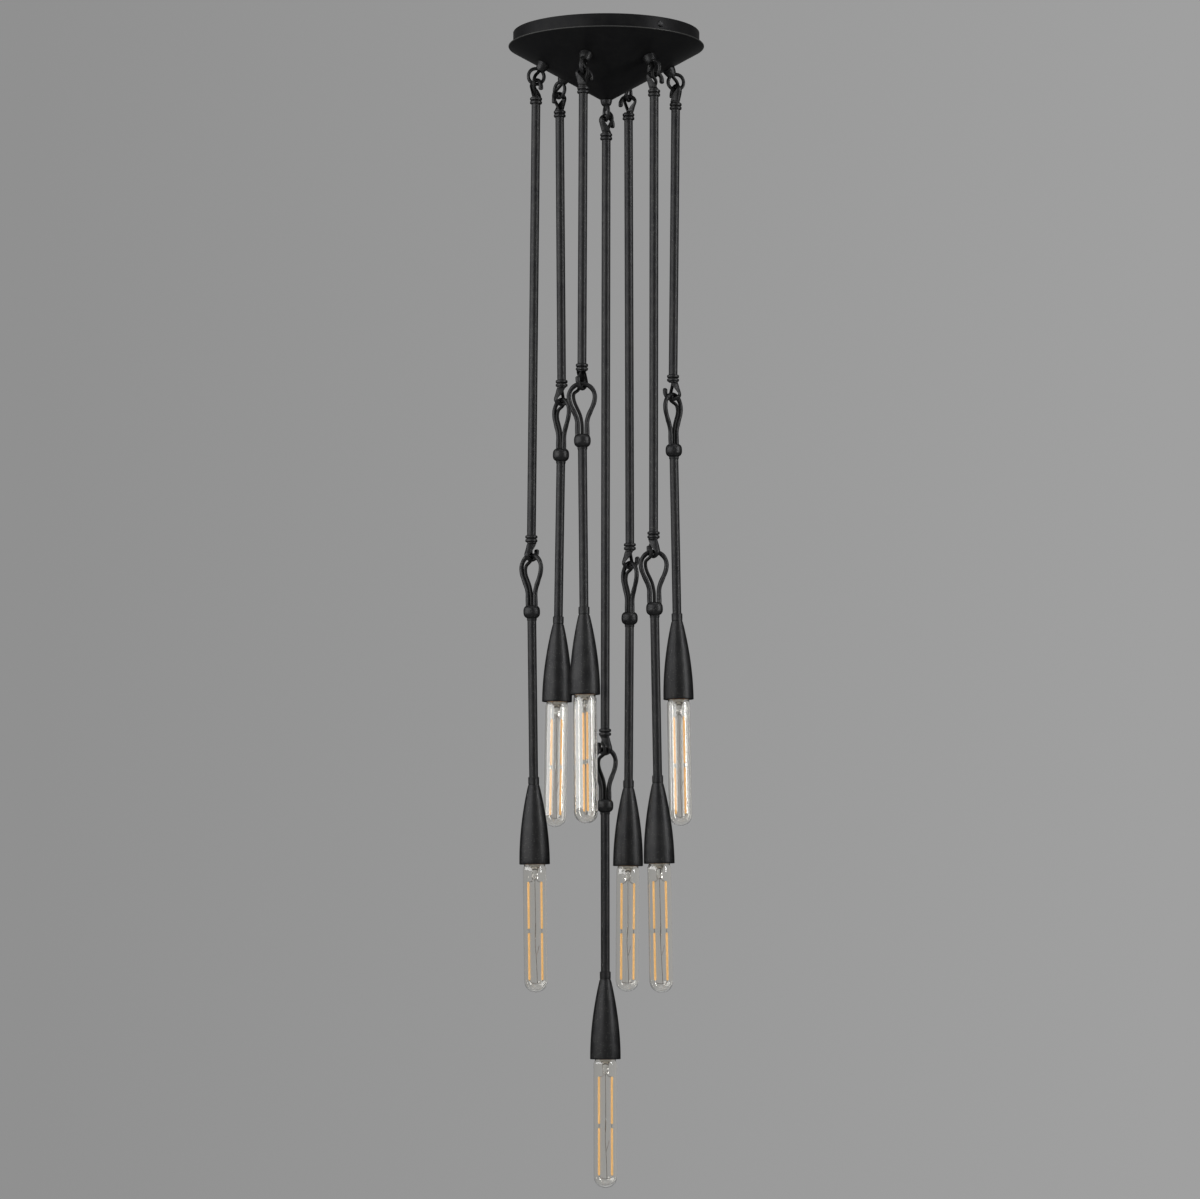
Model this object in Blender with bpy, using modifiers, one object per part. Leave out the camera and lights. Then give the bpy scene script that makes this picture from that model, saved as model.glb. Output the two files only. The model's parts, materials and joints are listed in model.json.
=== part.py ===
"""Seven-light pendant: hooked iron rods hang from a cone canopy, each over a tubular lamp.

Metres, +Z up. The origin is on the ceiling, on the canopy's axis, and the light hangs below it.
The front is -Y. A compass angle here is in degrees, from +X round towards the front.
"""

import math

import bmesh
import bpy
from mathutils import Matrix, Vector

for old in list(bpy.data.objects):
    bpy.data.objects.remove(old, do_unlink=True)

# Canopy: a drum against the ceiling over a wider cone of the same sheet
DRUM_RADIUS = 0.119
DRUM_HEIGHT = 0.018
RIM_OVERHANG = 0.006
CONE_DEPTH = 0.0725
SHEET = 0.0015

# Bar on the ceiling box, with an ear at each end for the canopy's side screws, whose heads are
# outlined by radius and height
BAR_WIDTH = 0.030
BAR_THICKNESS = 0.0025
EAR_DROP = 0.0145
BOX_SCREW_SPACING = 0.089
BOX_SCREW_HOLE = 0.0055
SIDE_SCREW_COMPASS = 55.0
SIDE_SCREW_HEAD = 0.0080
SIDE_SCREW_HEAD_HEIGHT = 0.0024
SIDE_SCREW_SHANK = 0.0038
SIDE_SCREW_END = 0.0020
SCREW_HEAD_SHARES = [(0.0, 1.0), (0.6, 0.85), (1.0, 0.3), (1.0, 0.0)]

# Clearances
CLEARANCE = 0.0003
CORD_CLEARANCE = 0.0006
CAP_CLEARANCE = 0.0006
CUT_OVERRUN = 0.0020
WELD = 0.00001

# Supply cord, the same for every lamp
CORD_DIAMETER = 0.0046

# Eyes: a ring under a bored boss, whose shank goes through the cone to a nut
STRAND_INSET = 0.028
EYE_DIAMETER = 0.0246
EYE_WIRE = 0.0044
EYE_DROP = 0.0190
CENTRE_EYE_DROP = 0.0120
CENTRE_EYE_COMPASS = 255.0
BOSS_WALL = 0.0031
SHANK_WALL = 0.0019
NUT_WALL = 0.0027
NUT_THICKNESS = 0.0040
NUT_CLEARANCE = 0.0006
BOSS_BITE_SHARE = 0.35

# Upper rods: tube, ribbed collars and a forged hook at each end
TUBE_DIAMETER = 0.0112
TUBE_WALL = 0.0016
COLLAR_STEP = 0.00235
COLLAR_HEIGHT = 0.0100
HOOK_WIRE = 0.0053
HOOK_BOW_RADIUS = 0.0102
HOOK_RISE = 0.0213
HOOK_ROOT_DEPTH = 0.0030
STRAP_THICKNESS = 0.0028
ROD_SHORT = 0.3615
ROD_LONG = 0.5705
ROD_CENTRE = 0.7711

# Drops: teardrop loop on a knob, tube, socket cup
LOOP_WIDTH = 0.038
LOOP_WIRE = 0.0056
LOOP_HEIGHT = 0.0655
LEG_CLEARANCE = 0.0008
LEG_STRAIGHT = 0.012
LEG_ROOT_DEPTH = 0.0045
LEG_SHARES = (1.0, 0.7, 0.35)
KNOB_DIAMETER = 0.021
KNOB_HEIGHT = 0.0176
KNOB_SQUARE_SHARE = 0.72
KNOB_LAST_ANGLE = 62
KNOB_NECK_STEP = 0.0006
KNOB_NECK_HEIGHT = 0.0024
SPIGOT_STEP = 0.0009
SPIGOT_DEPTH = 0.0100
DROP_LENGTH = 0.218
CUP_NECK_STEP = 0.0013
CUP_NECK_HEIGHT = 0.0097
CUP_HEIGHT = 0.099
CUP_WALL = 0.0015
CUP_ROOM = 0.0024
CUP_SHARES = (0.0, 0.17, 0.38, 0.66, 1.0)
CUP_SWELL = 0.9

# Lampholder and the tubular lamp screwed into it
CAP_DIAMETER = 0.0262
CAP_LENGTH = 0.0245
CAP_END_SHARE = 0.85
CONTACT_DIAMETER = 0.0090
CONTACT_HEIGHT = 0.0030
HOLDER_WALL = 0.0014
HOLDER_BASE = 0.0030
HOLDER_POCKET = 0.0040
HOLDER_INSET = 0.0015
HOLDER_SHOULDER = 0.0040
GLASS_DIAMETER = 0.030
GLASS_LENGTH = 0.1606
GLASS_SHOULDER = 0.0070

# Facets round a turned piece
CANOPY_SIDES = 48
CUP_SIDES = 12
KNOB_SIDES = 10
SMALL_SIDES = 10
WIRE_SIDES = 8
RING_SIDES = 6
RING_STEPS = 12
KNOB_STEPS = 4
BOW_STEPS = 7
LOOP_BOW_STEPS = 6

# Each strand: its place round the canopy and its rod, the compass of its hooks' tips and its loop,
# which leg its cord runs beside (-1 is the left one), where the cord rises beside the bar (steps
# along it, and the side), and the lean of rod and drop seen from the front
STRANDS = {
    1: dict(place=168.5, rod=ROD_LONG, tips=(53, -49), loop=40, leg=-1, rise=(0, 1), lean=(-0.53, 0.73)),
    2: dict(place=228.5, rod=ROD_SHORT, tips=(135, -25), loop=54, leg=-1, rise=(-1, 1), lean=(0.45, -0.87)),
    3: dict(place=108.5, rod=ROD_SHORT, tips=(-15, 120), loop=0, leg=-1, rise=(1, 1), lean=(-0.26, 0.58)),
    4: dict(place=None, rod=ROD_CENTRE, tips=(-38, 220), loop=-34, leg=-1, rise=(0, -1), lean=(-0.12, 0.07)),
    5: dict(place=288.5, rod=ROD_LONG, tips=(175, -20), loop=58, leg=-1, rise=(-1, -1), lean=(0.15, -0.40)),
    6: dict(place=48.5, rod=ROD_LONG, tips=(-16, 235), loop=-5, leg=-1, rise=(2, -1), lean=(-0.13, 1.00)),
    7: dict(place=348.5, rod=ROD_SHORT, tips=(241, 188), loop=-52, leg=1, rise=(1, -1), lean=(-0.62, 1.00)),
}

# Ribs of a collar, mouth first: how far each point stands out, and how far along it is
COLLAR_SHARES = [(0.3, 0.0), (1.0, 0.16), (1.0, 0.38), (0.55, 0.48), (1.0, 0.58), (1.0, 0.84), (0.25, 1.0)]

# Strap of a hook, root first: the way out to the bow, the way up to the bow's centre, and how
# round the gutter has become; then each section's tilt in degrees
STRAP_SHARES = [(0.0, 0.0, 0.0), (0.04, 0.39, 0.0), (0.62, 0.69, 0.43)]
STRAP_TILTS = (0.0, 18.0, 30.0)

# Bow of a hook, in degrees from the tip's side, how round it starts, and its flared tip
BOW_START = 165.0
BOW_END = -10.0
BOW_START_SHARE = 0.75
TIP_FLARE_SHARE = 1.12
TIP_POINT_SHARE = 0.55

# Cord past the upper hook: reach out in the free quarter, and height over the hook's bow
TOP_CROSSING = [
    (0.0034, 0.0053),
    (0.0071, 0.0006),
    (0.0076, -0.0055),
    (0.0049, -0.0122),
    (0.0006, -0.0205),
]

# Cord past the lower hook, the same way, from the rod's mouth down
BOTTOM_CROSSING = [
    (0.0005, 0.0208),
    (0.0046, 0.0132),
    (0.0078, 0.0063),
    (0.0078, 0.0002),
]

# Cord inside the loop: towards the leg, out of the loop's plane, height over the hook's bow
LOOP_RUN = [
    (0.0070, 0.0038, -0.0080),
    (0.0068, 0.0015, -0.0180),
    (0.0033, 0.0004, -0.0300),
    (0.0005, 0.0, -0.0430),
]

# Cord inside the canopy: pitch beside the bar, drop from the ceiling, rise over the eye's nut
CORD_PITCH = 0.007
CORD_BOX_DROP = 0.016
CORD_NUT_RISE = 0.011

# Bends get a point of their own on spans between these lengths
BEND_STEP = 0.007
SMOOTH_RUN = 0.020
BEND_ANGLE = 12.0

slope = math.atan2(CONE_DEPTH, DRUM_RADIUS + RIM_OVERHANG)
rim_radius = DRUM_RADIUS + RIM_OVERHANG
strand_radius = DRUM_RADIUS - STRAND_INSET
sheet_rise = SHEET / math.cos(slope)
tip_height = -DRUM_HEIGHT - CONE_DEPTH
wireway_radius = CORD_DIAMETER / 2 + CORD_CLEARANCE
boss_radius = wireway_radius + BOSS_WALL
shank_radius = wireway_radius + SHANK_WALL
shank_hole_radius = shank_radius + CLEARANCE
nut_radius = shank_radius + NUT_WALL
eye_radius = (EYE_DIAMETER - EYE_WIRE) / 2
eye_seat = HOOK_WIRE / 2 + CLEARANCE + EYE_WIRE / 2
loop_seat = HOOK_WIRE / 2 + CLEARANCE + LOOP_WIRE / 2
tube_radius = TUBE_DIAMETER / 2
bore_radius = tube_radius - TUBE_WALL
spigot_radius = tube_radius - SPIGOT_STEP
socket_radius = spigot_radius + CLEARANCE
knob_top = loop_seat + LOOP_WIRE / 2 - LOOP_HEIGHT
knob_bottom = knob_top - KNOB_HEIGHT
knob_neck_bottom = knob_bottom - KNOB_NECK_HEIGHT
cup_top = knob_top - KNOB_HEIGHT / 2 - DROP_LENGTH
cup_neck_top = cup_top + CUP_NECK_HEIGHT
cup_mouth = cup_top - CUP_HEIGHT
cup_neck_radius = tube_radius + CUP_NECK_STEP
holder_bore = CAP_DIAMETER / 2 + CAP_CLEARANCE
holder_radius = holder_bore + HOLDER_WALL
cup_radius = holder_radius + CUP_ROOM + CUP_WALL
holder_seat = cup_mouth + CAP_LENGTH + CLEARANCE
pocket_floor = holder_seat + HOLDER_BASE
holder_top = pocket_floor + HOLDER_POCKET

parts = bpy.data.collections.new("seven_light_pendant")
cutters = bpy.data.collections.new("cutters")
bpy.context.scene.collection.children.link(parts)
bpy.context.scene.collection.children.link(cutters)


def finish(name, colour, roughness, metallic, transmission=0.0):
    """A Principled material for one kind of piece."""
    made = bpy.data.materials.new(name)
    made.use_nodes = True
    shader = made.node_tree.nodes["Principled BSDF"]
    shader.inputs["Base Color"].default_value = (*colour, 1.0)
    shader.inputs["Roughness"].default_value = roughness
    shader.inputs["Metallic"].default_value = metallic
    shader.inputs["Transmission Weight"].default_value = transmission
    return made


SPUN_IRON = finish("dark spun iron sheet", (0.030, 0.030, 0.031), 0.55, 0.6)
FORGED_IRON = finish("dark textured forged iron", (0.040, 0.040, 0.041), 0.62, 0.6)
ZINC_STEEL = finish("zinc plated steel", (0.55, 0.56, 0.58), 0.35, 1.0)
BLACK_SCREW = finish("blackened screw steel", (0.05, 0.05, 0.05), 0.4, 0.9)
PORCELAIN = finish("glazed porcelain", (0.80, 0.79, 0.75), 0.25, 0.0)
CLEAR_GLASS = finish("clear lamp glass", (0.95, 0.95, 0.93), 0.03, 0.0, 1.0)
CORD_JACKET = finish("black cord jacket", (0.015, 0.015, 0.015), 0.7, 0.0)


def compass(degrees):
    """The level direction at a compass angle."""
    angle = math.radians(degrees)
    return Vector((math.cos(angle), -math.sin(angle), 0.0))


def mix(start, end, share):
    return start + (end - start) * share


def link(obj, collection, parent=None, location=(0, 0, 0), rotation=(0, 0, 0)):
    """Put an object in a collection, at a place under its parent."""
    for held in list(obj.users_collection):
        held.objects.unlink(obj)
    collection.objects.link(obj)
    obj.parent = parent
    obj.location = location
    obj.rotation_euler = rotation
    return obj


def axis_empty(name, parent=None, location=(0, 0, 0), rotation=(0, 0, 0)):
    """An empty that carries the pieces turning about its point."""
    return link(bpy.data.objects.new(name, None), parts, parent, location, rotation)


def cutter(obj, parent=None, location=(0, 0, 0), rotation=(0, 0, 0)):
    """Keep an object only as a cutting or joining shape."""
    obj.hide_render = True
    obj.display_type = "WIRE"
    return link(obj, cutters, parent, location, rotation)


def smooth(mesh):
    mesh.shade_smooth()
    mesh.set_sharp_from_angle(angle=math.radians(40))
    return mesh


def piece(name, mesh, material, parent=None, location=(0, 0, 0), rotation=(0, 0, 0)):
    """A named sub-part from a mesh, which other pieces may share."""
    if not mesh.materials:
        mesh.materials.append(material)
    return link(bpy.data.objects.new(name, mesh), parts, parent, location, rotation)


def outline_object(name, outline, sides, closed):
    """A half outline of (radius, height) points, turned round Z by a Screw modifier."""
    mesh = bpy.data.meshes.new(name)
    count = len(outline)
    edges = [(i, (i + 1) % count) for i in range(count if closed else count - 1)]
    mesh.from_pydata([(radius, 0.0, height) for radius, height in outline], edges, [])
    obj = bpy.data.objects.new(name, mesh)
    turn = obj.modifiers.new("turn", "SCREW")
    turn.steps = sides
    turn.render_steps = sides
    turn.use_merge_vertices = True
    turn.merge_threshold = WELD
    return obj


def combine(obj, other, operation):
    """Add an EXACT Boolean of another object."""
    step = obj.modifiers.new(operation.lower(), "BOOLEAN")
    step.operation = operation
    step.solver = "EXACT"
    step.object = other


def cylinder(name, radius, bottom, top, sides, parent=None, location=(0, 0, 0), rotation=(0, 0, 0)):
    """A cutting cylinder along local Z, between two heights."""
    mesh = bpy.data.meshes.new(name)
    shape = bmesh.new()
    shift = Matrix.Translation((0, 0, (bottom + top) / 2))
    bmesh.ops.create_cone(
        shape,
        cap_ends=True,
        segments=sides,
        radius1=radius,
        radius2=radius,
        depth=top - bottom,
        matrix=shift,
    )
    shape.to_mesh(mesh)
    shape.free()
    return cutter(bpy.data.objects.new(name, mesh), parent, location, rotation)


def block(name, size, centre, parent=None):
    """A box of a given size about a centre, for cutting or joining."""
    mesh = bpy.data.meshes.new(name)
    shape = bmesh.new()
    bmesh.ops.create_cube(shape, size=1.0, matrix=Matrix.Translation(centre) @ Matrix.Diagonal((*size, 1.0)))
    shape.to_mesh(mesh)
    shape.free()
    return cutter(bpy.data.objects.new(name, mesh), parent)


def settled(obj):
    """The mesh of an object with its modifiers carried out, its loose caps welded."""
    for known in (parts, cutters):
        if obj.name in known.objects:
            break
    else:
        cutters.objects.link(obj)
    bpy.context.view_layer.update()
    seen = obj.evaluated_get(bpy.context.evaluated_depsgraph_get())
    mesh = bpy.data.meshes.new_from_object(seen)
    mesh.name = obj.name
    bpy.data.objects.remove(obj, do_unlink=True)
    shape = bmesh.new()
    shape.from_mesh(mesh)
    bmesh.ops.remove_doubles(shape, verts=shape.verts, dist=WELD)
    shape.to_mesh(mesh)
    shape.free()
    return smooth(mesh)


def wire(name, points, diameter, resolution=2):
    """A round wire along points, as a bevelled POLY curve with filled ends."""
    curve = bpy.data.curves.new(name, "CURVE")
    curve.dimensions = "3D"
    curve.bevel_depth = diameter / 2
    curve.bevel_resolution = resolution
    curve.use_fill_caps = True
    spline = curve.splines.new("POLY")
    spline.points.add(len(points) - 1)
    for place, point in zip(spline.points, points):
        place.co = (*point, 1.0)
    return bpy.data.objects.new(name, curve)


def canopy_shell():
    """Drum and cone of one sheet, turned, with a hole for each eye."""
    inner_radius = DRUM_RADIUS - SHEET

    def cone_height(radius):
        return tip_height + radius * math.tan(slope)

    outline = [
        (DRUM_RADIUS, 0.0),
        (DRUM_RADIUS, cone_height(DRUM_RADIUS) + sheet_rise),
        (rim_radius - SHEET / 2, cone_height(rim_radius) + sheet_rise),
        (rim_radius, cone_height(rim_radius) + sheet_rise / 2),
        (rim_radius - SHEET / 2, cone_height(rim_radius - SHEET / 2)),
        (shank_hole_radius, cone_height(shank_hole_radius)),
        (shank_hole_radius, cone_height(shank_hole_radius) + sheet_rise),
        (inner_radius, cone_height(inner_radius) + sheet_rise),
        (inner_radius, 0.0),
    ]
    shell = outline_object("canopy_shell", outline, CANOPY_SIDES, closed=True)
    shell.data.materials.append(SPUN_IRON)
    link(shell, parts)
    for number, strand in STRANDS.items():
        if strand["place"] is not None:
            hole = cylinder(
                f"eye_hole_{number}",
                shank_hole_radius,
                EYE_DROP - CUT_OVERRUN,
                EYE_DROP + SHEET + CUT_OVERRUN,
                SMALL_SIDES,
                parent=eye_axes[number],
            )
            combine(shell, hole, "DIFFERENCE")
    for turn in (0.0, 180.0):
        combine(shell, side_hole("drum_hole", turn), "DIFFERENCE")
    return shell


def side_hole(name, turn):
    """A level cutter through drum and ear, at one of the two side screws."""
    reach = bar_half_length() - 2 * BAR_THICKNESS
    return cylinder(
        f"{name}_{turn:.0f}",
        SIDE_SCREW_SHANK / 2 + CLEARANCE,
        reach,
        DRUM_RADIUS + CUT_OVERRUN,
        SMALL_SIDES,
        location=(0, 0, -DRUM_HEIGHT / 2),
        rotation=(0, math.pi / 2, -math.radians(SIDE_SCREW_COMPASS + turn)),
    )


def bar_half_length():
    """Half the bar, whose square ears stay clear of the round drum."""
    room = DRUM_RADIUS - SHEET - CLEARANCE
    return math.sqrt(room**2 - (BAR_WIDTH / 2) ** 2)


def mounting_bar():
    """The strap on the ceiling box, with ears and its screw holes."""
    half = bar_half_length()
    heading = axis_empty("bar_heading", rotation=(0, 0, -math.radians(SIDE_SCREW_COMPASS)))
    strap = block("mounting_bar", (2 * half, BAR_WIDTH, BAR_THICKNESS), (0, 0, -BAR_THICKNESS / 2), heading)
    strap.hide_render = False
    strap.display_type = "TEXTURED"
    link(strap, parts, heading)
    strap.data.materials.append(ZINC_STEEL)
    for side in (-1, 1):
        middle = (side * (half - BAR_THICKNESS / 2), 0, -EAR_DROP / 2)
        ear = block(f"ear_{side}", (BAR_THICKNESS, BAR_WIDTH, EAR_DROP), middle, heading)
        combine(strap, ear, "UNION")
        hole = cylinder(
            f"box_screw_hole_{side}",
            BOX_SCREW_HOLE / 2,
            -BAR_THICKNESS - CUT_OVERRUN,
            CUT_OVERRUN,
            SMALL_SIDES,
            parent=heading,
            location=(side * BOX_SCREW_SPACING / 2, 0, 0),
        )
        combine(strap, hole, "DIFFERENCE")
    for turn in (0.0, 180.0):
        combine(strap, side_hole("ear_hole", turn), "DIFFERENCE")
    return strap


def canopy_screws():
    """Two round-headed screws through the drum into the bar's ears."""
    head = SIDE_SCREW_HEAD / 2
    under_head = DRUM_RADIUS + CLEARANCE
    end = bar_half_length() - BAR_THICKNESS - SIDE_SCREW_END
    outline = [
        *((head * out, under_head + SIDE_SCREW_HEAD_HEIGHT * up) for out, up in SCREW_HEAD_SHARES),
        (SIDE_SCREW_SHANK / 2, under_head),
        (SIDE_SCREW_SHANK / 2, end),
        (0.0, end),
    ]
    mesh = settled(outline_object("canopy_screw", outline, SMALL_SIDES, closed=False))
    place = (0, 0, -DRUM_HEIGHT / 2)
    for number, turn in ((1, 0.0), (2, 180.0)):
        heading = (0, math.pi / 2, -math.radians(SIDE_SCREW_COMPASS + turn))
        piece(f"canopy_screw_{number}", mesh, BLACK_SCREW, location=place, rotation=heading)


def eye_mesh(seat, nut_seat):
    """Ring, boss, shank and nut about the ring's centre, bored for the cord."""
    boss_end = eye_radius - BOSS_BITE_SHARE * EYE_WIRE
    top = nut_seat + NUT_THICKNESS
    outline = [
        (0.0, top),
        (nut_radius, top),
        (nut_radius, nut_seat),
        (shank_radius, nut_seat),
        (shank_radius, seat),
        (boss_radius, seat),
        (boss_radius, boss_end),
        (0.0, boss_end),
    ]
    eye = outline_object("eye", outline, SMALL_SIDES, closed=False)
    bpy.ops.mesh.primitive_torus_add(
        major_segments=RING_STEPS,
        minor_segments=RING_SIDES,
        major_radius=eye_radius,
        minor_radius=EYE_WIRE / 2,
        rotation=(math.pi / 2, 0, 0),
    )
    ring = cutter(bpy.context.object, rotation=(math.pi / 2, 0, 0))
    bore = cylinder("eye_bore", wireway_radius, eye_radius / 2, top + CUT_OVERRUN, SMALL_SIDES)
    combine(eye, ring, "UNION")
    combine(eye, bore, "DIFFERENCE")
    mesh = settled(eye)
    bpy.data.objects.remove(ring, do_unlink=True)
    bpy.data.objects.remove(bore, do_unlink=True)
    return mesh


def hook_sections():
    """Sections along the hook: place in its plane, thickness, width and gutter halved, and tilt."""
    centre = HOOK_RISE - HOOK_BOW_RADIUS
    root = STRAP_THICKNESS / 4 - tube_radius
    wire_half = HOOK_WIRE / 2

    def section(x, z, share, tilt, flare=1.0):
        thick = mix(STRAP_THICKNESS / 2, wire_half, share) * flare
        wide = mix(tube_radius, wire_half, share) * flare
        return x, z, thick, wide, mix(tube_radius / 2, 0.0, share), math.radians(tilt)

    sections = []
    for (way, rise, share), tilt in zip(STRAP_SHARES, STRAP_TILTS):
        x = mix(root, -HOOK_BOW_RADIUS, way)
        sections.append(section(x, mix(-HOOK_ROOT_DEPTH, centre, rise), share, tilt))
    for step in range(BOW_STEPS + 1):
        angle = mix(BOW_START, BOW_END, step / BOW_STEPS)
        x = HOOK_BOW_RADIUS * math.cos(math.radians(angle))
        z = centre + HOOK_BOW_RADIUS * math.sin(math.radians(angle))
        share = BOW_START_SHARE if step == 0 else 1.0
        flare = TIP_FLARE_SHARE if step == BOW_STEPS else 1.0
        sections.append(section(x, z, share, 180.0 - angle, flare))
    return sections


def hook_mesh():
    """Hook over a rod's mouth at the origin: a gutter strap that rounds into the bow and tip."""
    mesh = bpy.data.meshes.new("hook")
    shape = bmesh.new()
    rings = []
    for x, z, thick, wide, gutter, tilt in hook_sections():
        outward = Vector((-math.cos(tilt), 0, math.sin(tilt)))
        ring = []
        for step in range(WIRE_SIDES):
            turn = 2 * math.pi * step / WIRE_SIDES
            out = thick * math.cos(turn) - gutter * math.sin(turn) ** 2
            ring.append(shape.verts.new(Vector((x, wide * math.sin(turn), z)) + outward * out))
        rings.append(ring)
    for lower, upper in zip(rings, rings[1:]):
        for step in range(WIRE_SIDES):
            after = (step + 1) % WIRE_SIDES
            shape.faces.new((lower[step], lower[after], upper[after], upper[step]))
    tip_way = Vector((math.sin(math.radians(BOW_END)), 0, -math.cos(math.radians(BOW_END))))
    middle = sum((corner.co for corner in rings[-1]), Vector()) / WIRE_SIDES
    tip = shape.verts.new(middle + tip_way * HOOK_WIRE * TIP_POINT_SHARE)
    for step in range(WIRE_SIDES):
        shape.faces.new((rings[-1][step], rings[-1][(step + 1) % WIRE_SIDES], tip))
    shape.faces.new(list(reversed(rings[0])))
    bmesh.ops.recalc_face_normals(shape, faces=shape.faces)
    shape.to_mesh(mesh)
    shape.free()
    return mesh


def upper_rod(number, strand, pivot, hook):
    """Tube with a ribbed collar and a hook at each end, under the upper pivot."""
    top = -HOOK_RISE
    bottom = top - strand["rod"]
    ribs = [(tube_radius + out * COLLAR_STEP, along * COLLAR_HEIGHT) for out, along in COLLAR_SHARES]
    outline = [
        *((radius, top - along) for radius, along in ribs),
        (tube_radius, top - COLLAR_HEIGHT),
        (tube_radius, bottom + COLLAR_HEIGHT),
        *((radius, bottom + along) for radius, along in reversed(ribs)),
        (bore_radius, bottom),
        (bore_radius, top),
    ]
    rod = outline_object(f"upper_rod_{number}", outline, SMALL_SIDES, closed=True)
    rod.data.materials.append(FORGED_IRON)
    link(rod, parts, pivot)
    top_hook = bpy.data.objects.new(f"top_hook_{number}", hook)
    cutter(top_hook, pivot, (0, 0, top), (0, 0, -math.radians(strand["tips"][0])))
    bottom_hook = bpy.data.objects.new(f"bottom_hook_{number}", hook)
    cutter(bottom_hook, pivot, (0, 0, bottom), (math.pi, 0, -math.radians(strand["tips"][1])))
    combine(rod, top_hook, "UNION")
    combine(rod, bottom_hook, "UNION")
    return rod


def loop_half_width(height):
    """How far a leg's wire is from the axis, below the round top of the loop."""
    bow_radius = (LOOP_WIDTH - LOOP_WIRE) / 2
    leg = (CORD_DIAMETER + LOOP_WIRE) / 2 + LEG_CLEARANCE
    widest = loop_seat - bow_radius
    narrow = knob_top + LEG_STRAIGHT
    way = min(max((widest - height) / (widest - narrow), 0.0), 1.0)
    return mix(leg, bow_radius, (1 + math.cos(math.pi * way)) / 2)


def knob_swell():
    """The knob's barrel side from its flat top to its flat bottom."""
    middle = knob_top - KNOB_HEIGHT / 2
    side = []
    for step in range(KNOB_STEPS + 1):
        angle = math.radians(mix(KNOB_LAST_ANGLE, -KNOB_LAST_ANGLE, step / KNOB_STEPS))
        out = KNOB_DIAMETER / 2 * math.cos(angle) ** KNOB_SQUARE_SHARE
        rise = KNOB_HEIGHT / 2 * math.copysign(abs(math.sin(angle)) ** KNOB_SQUARE_SHARE, angle)
        side.append((out, middle + rise))
    side[0] = (side[0][0], knob_top)
    side[-1] = (side[-1][0], knob_bottom)
    return side


def loop_mesh():
    """Teardrop loop on its knob, about the lower pivot, in the XZ plane."""
    bow_radius = (LOOP_WIDTH - LOOP_WIRE) / 2
    widest = loop_seat - bow_radius
    narrow = knob_top + LEG_STRAIGHT
    heights = [knob_top - LEG_ROOT_DEPTH, *(mix(widest, narrow, share) for share in LEG_SHARES)]
    right_leg = [Vector((loop_half_width(height), 0, height)) for height in heights]
    ways = [math.pi * step / LOOP_BOW_STEPS for step in range(LOOP_BOW_STEPS + 1)]
    bow = [Vector((bow_radius * math.cos(way), 0, widest + bow_radius * math.sin(way))) for way in ways]
    left_leg = [Vector((-point.x, 0, point.z)) for point in reversed(right_leg)]
    teardrop = settled(wire("teardrop", right_leg + bow + left_leg, LOOP_WIRE))
    neck = tube_radius + KNOB_NECK_STEP
    socket_end = knob_neck_bottom + SPIGOT_DEPTH + CLEARANCE
    outline = [
        (wireway_radius, knob_top),
        *knob_swell(),
        (neck, knob_bottom),
        (neck, knob_neck_bottom),
        (socket_radius, knob_neck_bottom),
        (socket_radius, socket_end),
        (wireway_radius, socket_end),
    ]
    knob = outline_object("loop", outline, KNOB_SIDES, closed=True)
    ring = cutter(bpy.data.objects.new("teardrop", teardrop))
    combine(knob, ring, "UNION")
    mesh = settled(knob)
    bpy.data.objects.remove(ring, do_unlink=True)
    return mesh


def lower_tube_mesh():
    """Tube with a threaded spigot up into the knob and a nipple down to the lampholder."""
    outline = [
        (spigot_radius, knob_neck_bottom + SPIGOT_DEPTH),
        (spigot_radius, knob_neck_bottom - CLEARANCE),
        (tube_radius, knob_neck_bottom - CLEARANCE),
        (tube_radius, cup_neck_top + CLEARANCE),
        (spigot_radius, cup_neck_top + CLEARANCE),
        (spigot_radius, pocket_floor + CLEARANCE),
        (wireway_radius, pocket_floor + CLEARANCE),
        (wireway_radius, knob_neck_bottom + SPIGOT_DEPTH),
    ]
    return settled(outline_object("lower_tube", outline, SMALL_SIDES, closed=True))


def cup_wall_radius(share):
    """The cup's outer radius at a share of the way from its shoulder down to its mouth."""
    return mix(cup_neck_radius, cup_radius, math.sin(math.pi / 2 * share**CUP_SWELL))


def socket_cup_mesh():
    """Bullet-shaped shell with the ring round its neck, open at the mouth."""
    outer = [(cup_wall_radius(share), cup_top - share * CUP_HEIGHT) for share in CUP_SHARES]
    inner = [(radius - CUP_WALL, height) for radius, height in reversed(outer[2:])]
    outline = [
        (cup_neck_radius, cup_neck_top),
        *outer,
        *inner,
        (socket_radius, cup_top - CUP_WALL),
        (socket_radius, cup_neck_top),
    ]
    return settled(outline_object("socket_cup", outline, CUP_SIDES, closed=True))


def lampholder_mesh():
    """Porcelain lampholder: a socket for the lamp's cap under a pocket for the nipple."""
    bottom = cup_mouth + HOLDER_INSET
    outline = [
        (0.0, pocket_floor),
        (socket_radius, pocket_floor),
        (socket_radius, holder_top),
        (holder_radius - HOLDER_SHOULDER, holder_top),
        (holder_radius, holder_top - HOLDER_SHOULDER),
        (holder_radius, bottom),
        (holder_bore, bottom),
        (holder_bore, holder_seat),
        (0.0, holder_seat),
    ]
    return settled(outline_object("lampholder", outline, CUP_SIDES, closed=False))


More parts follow.
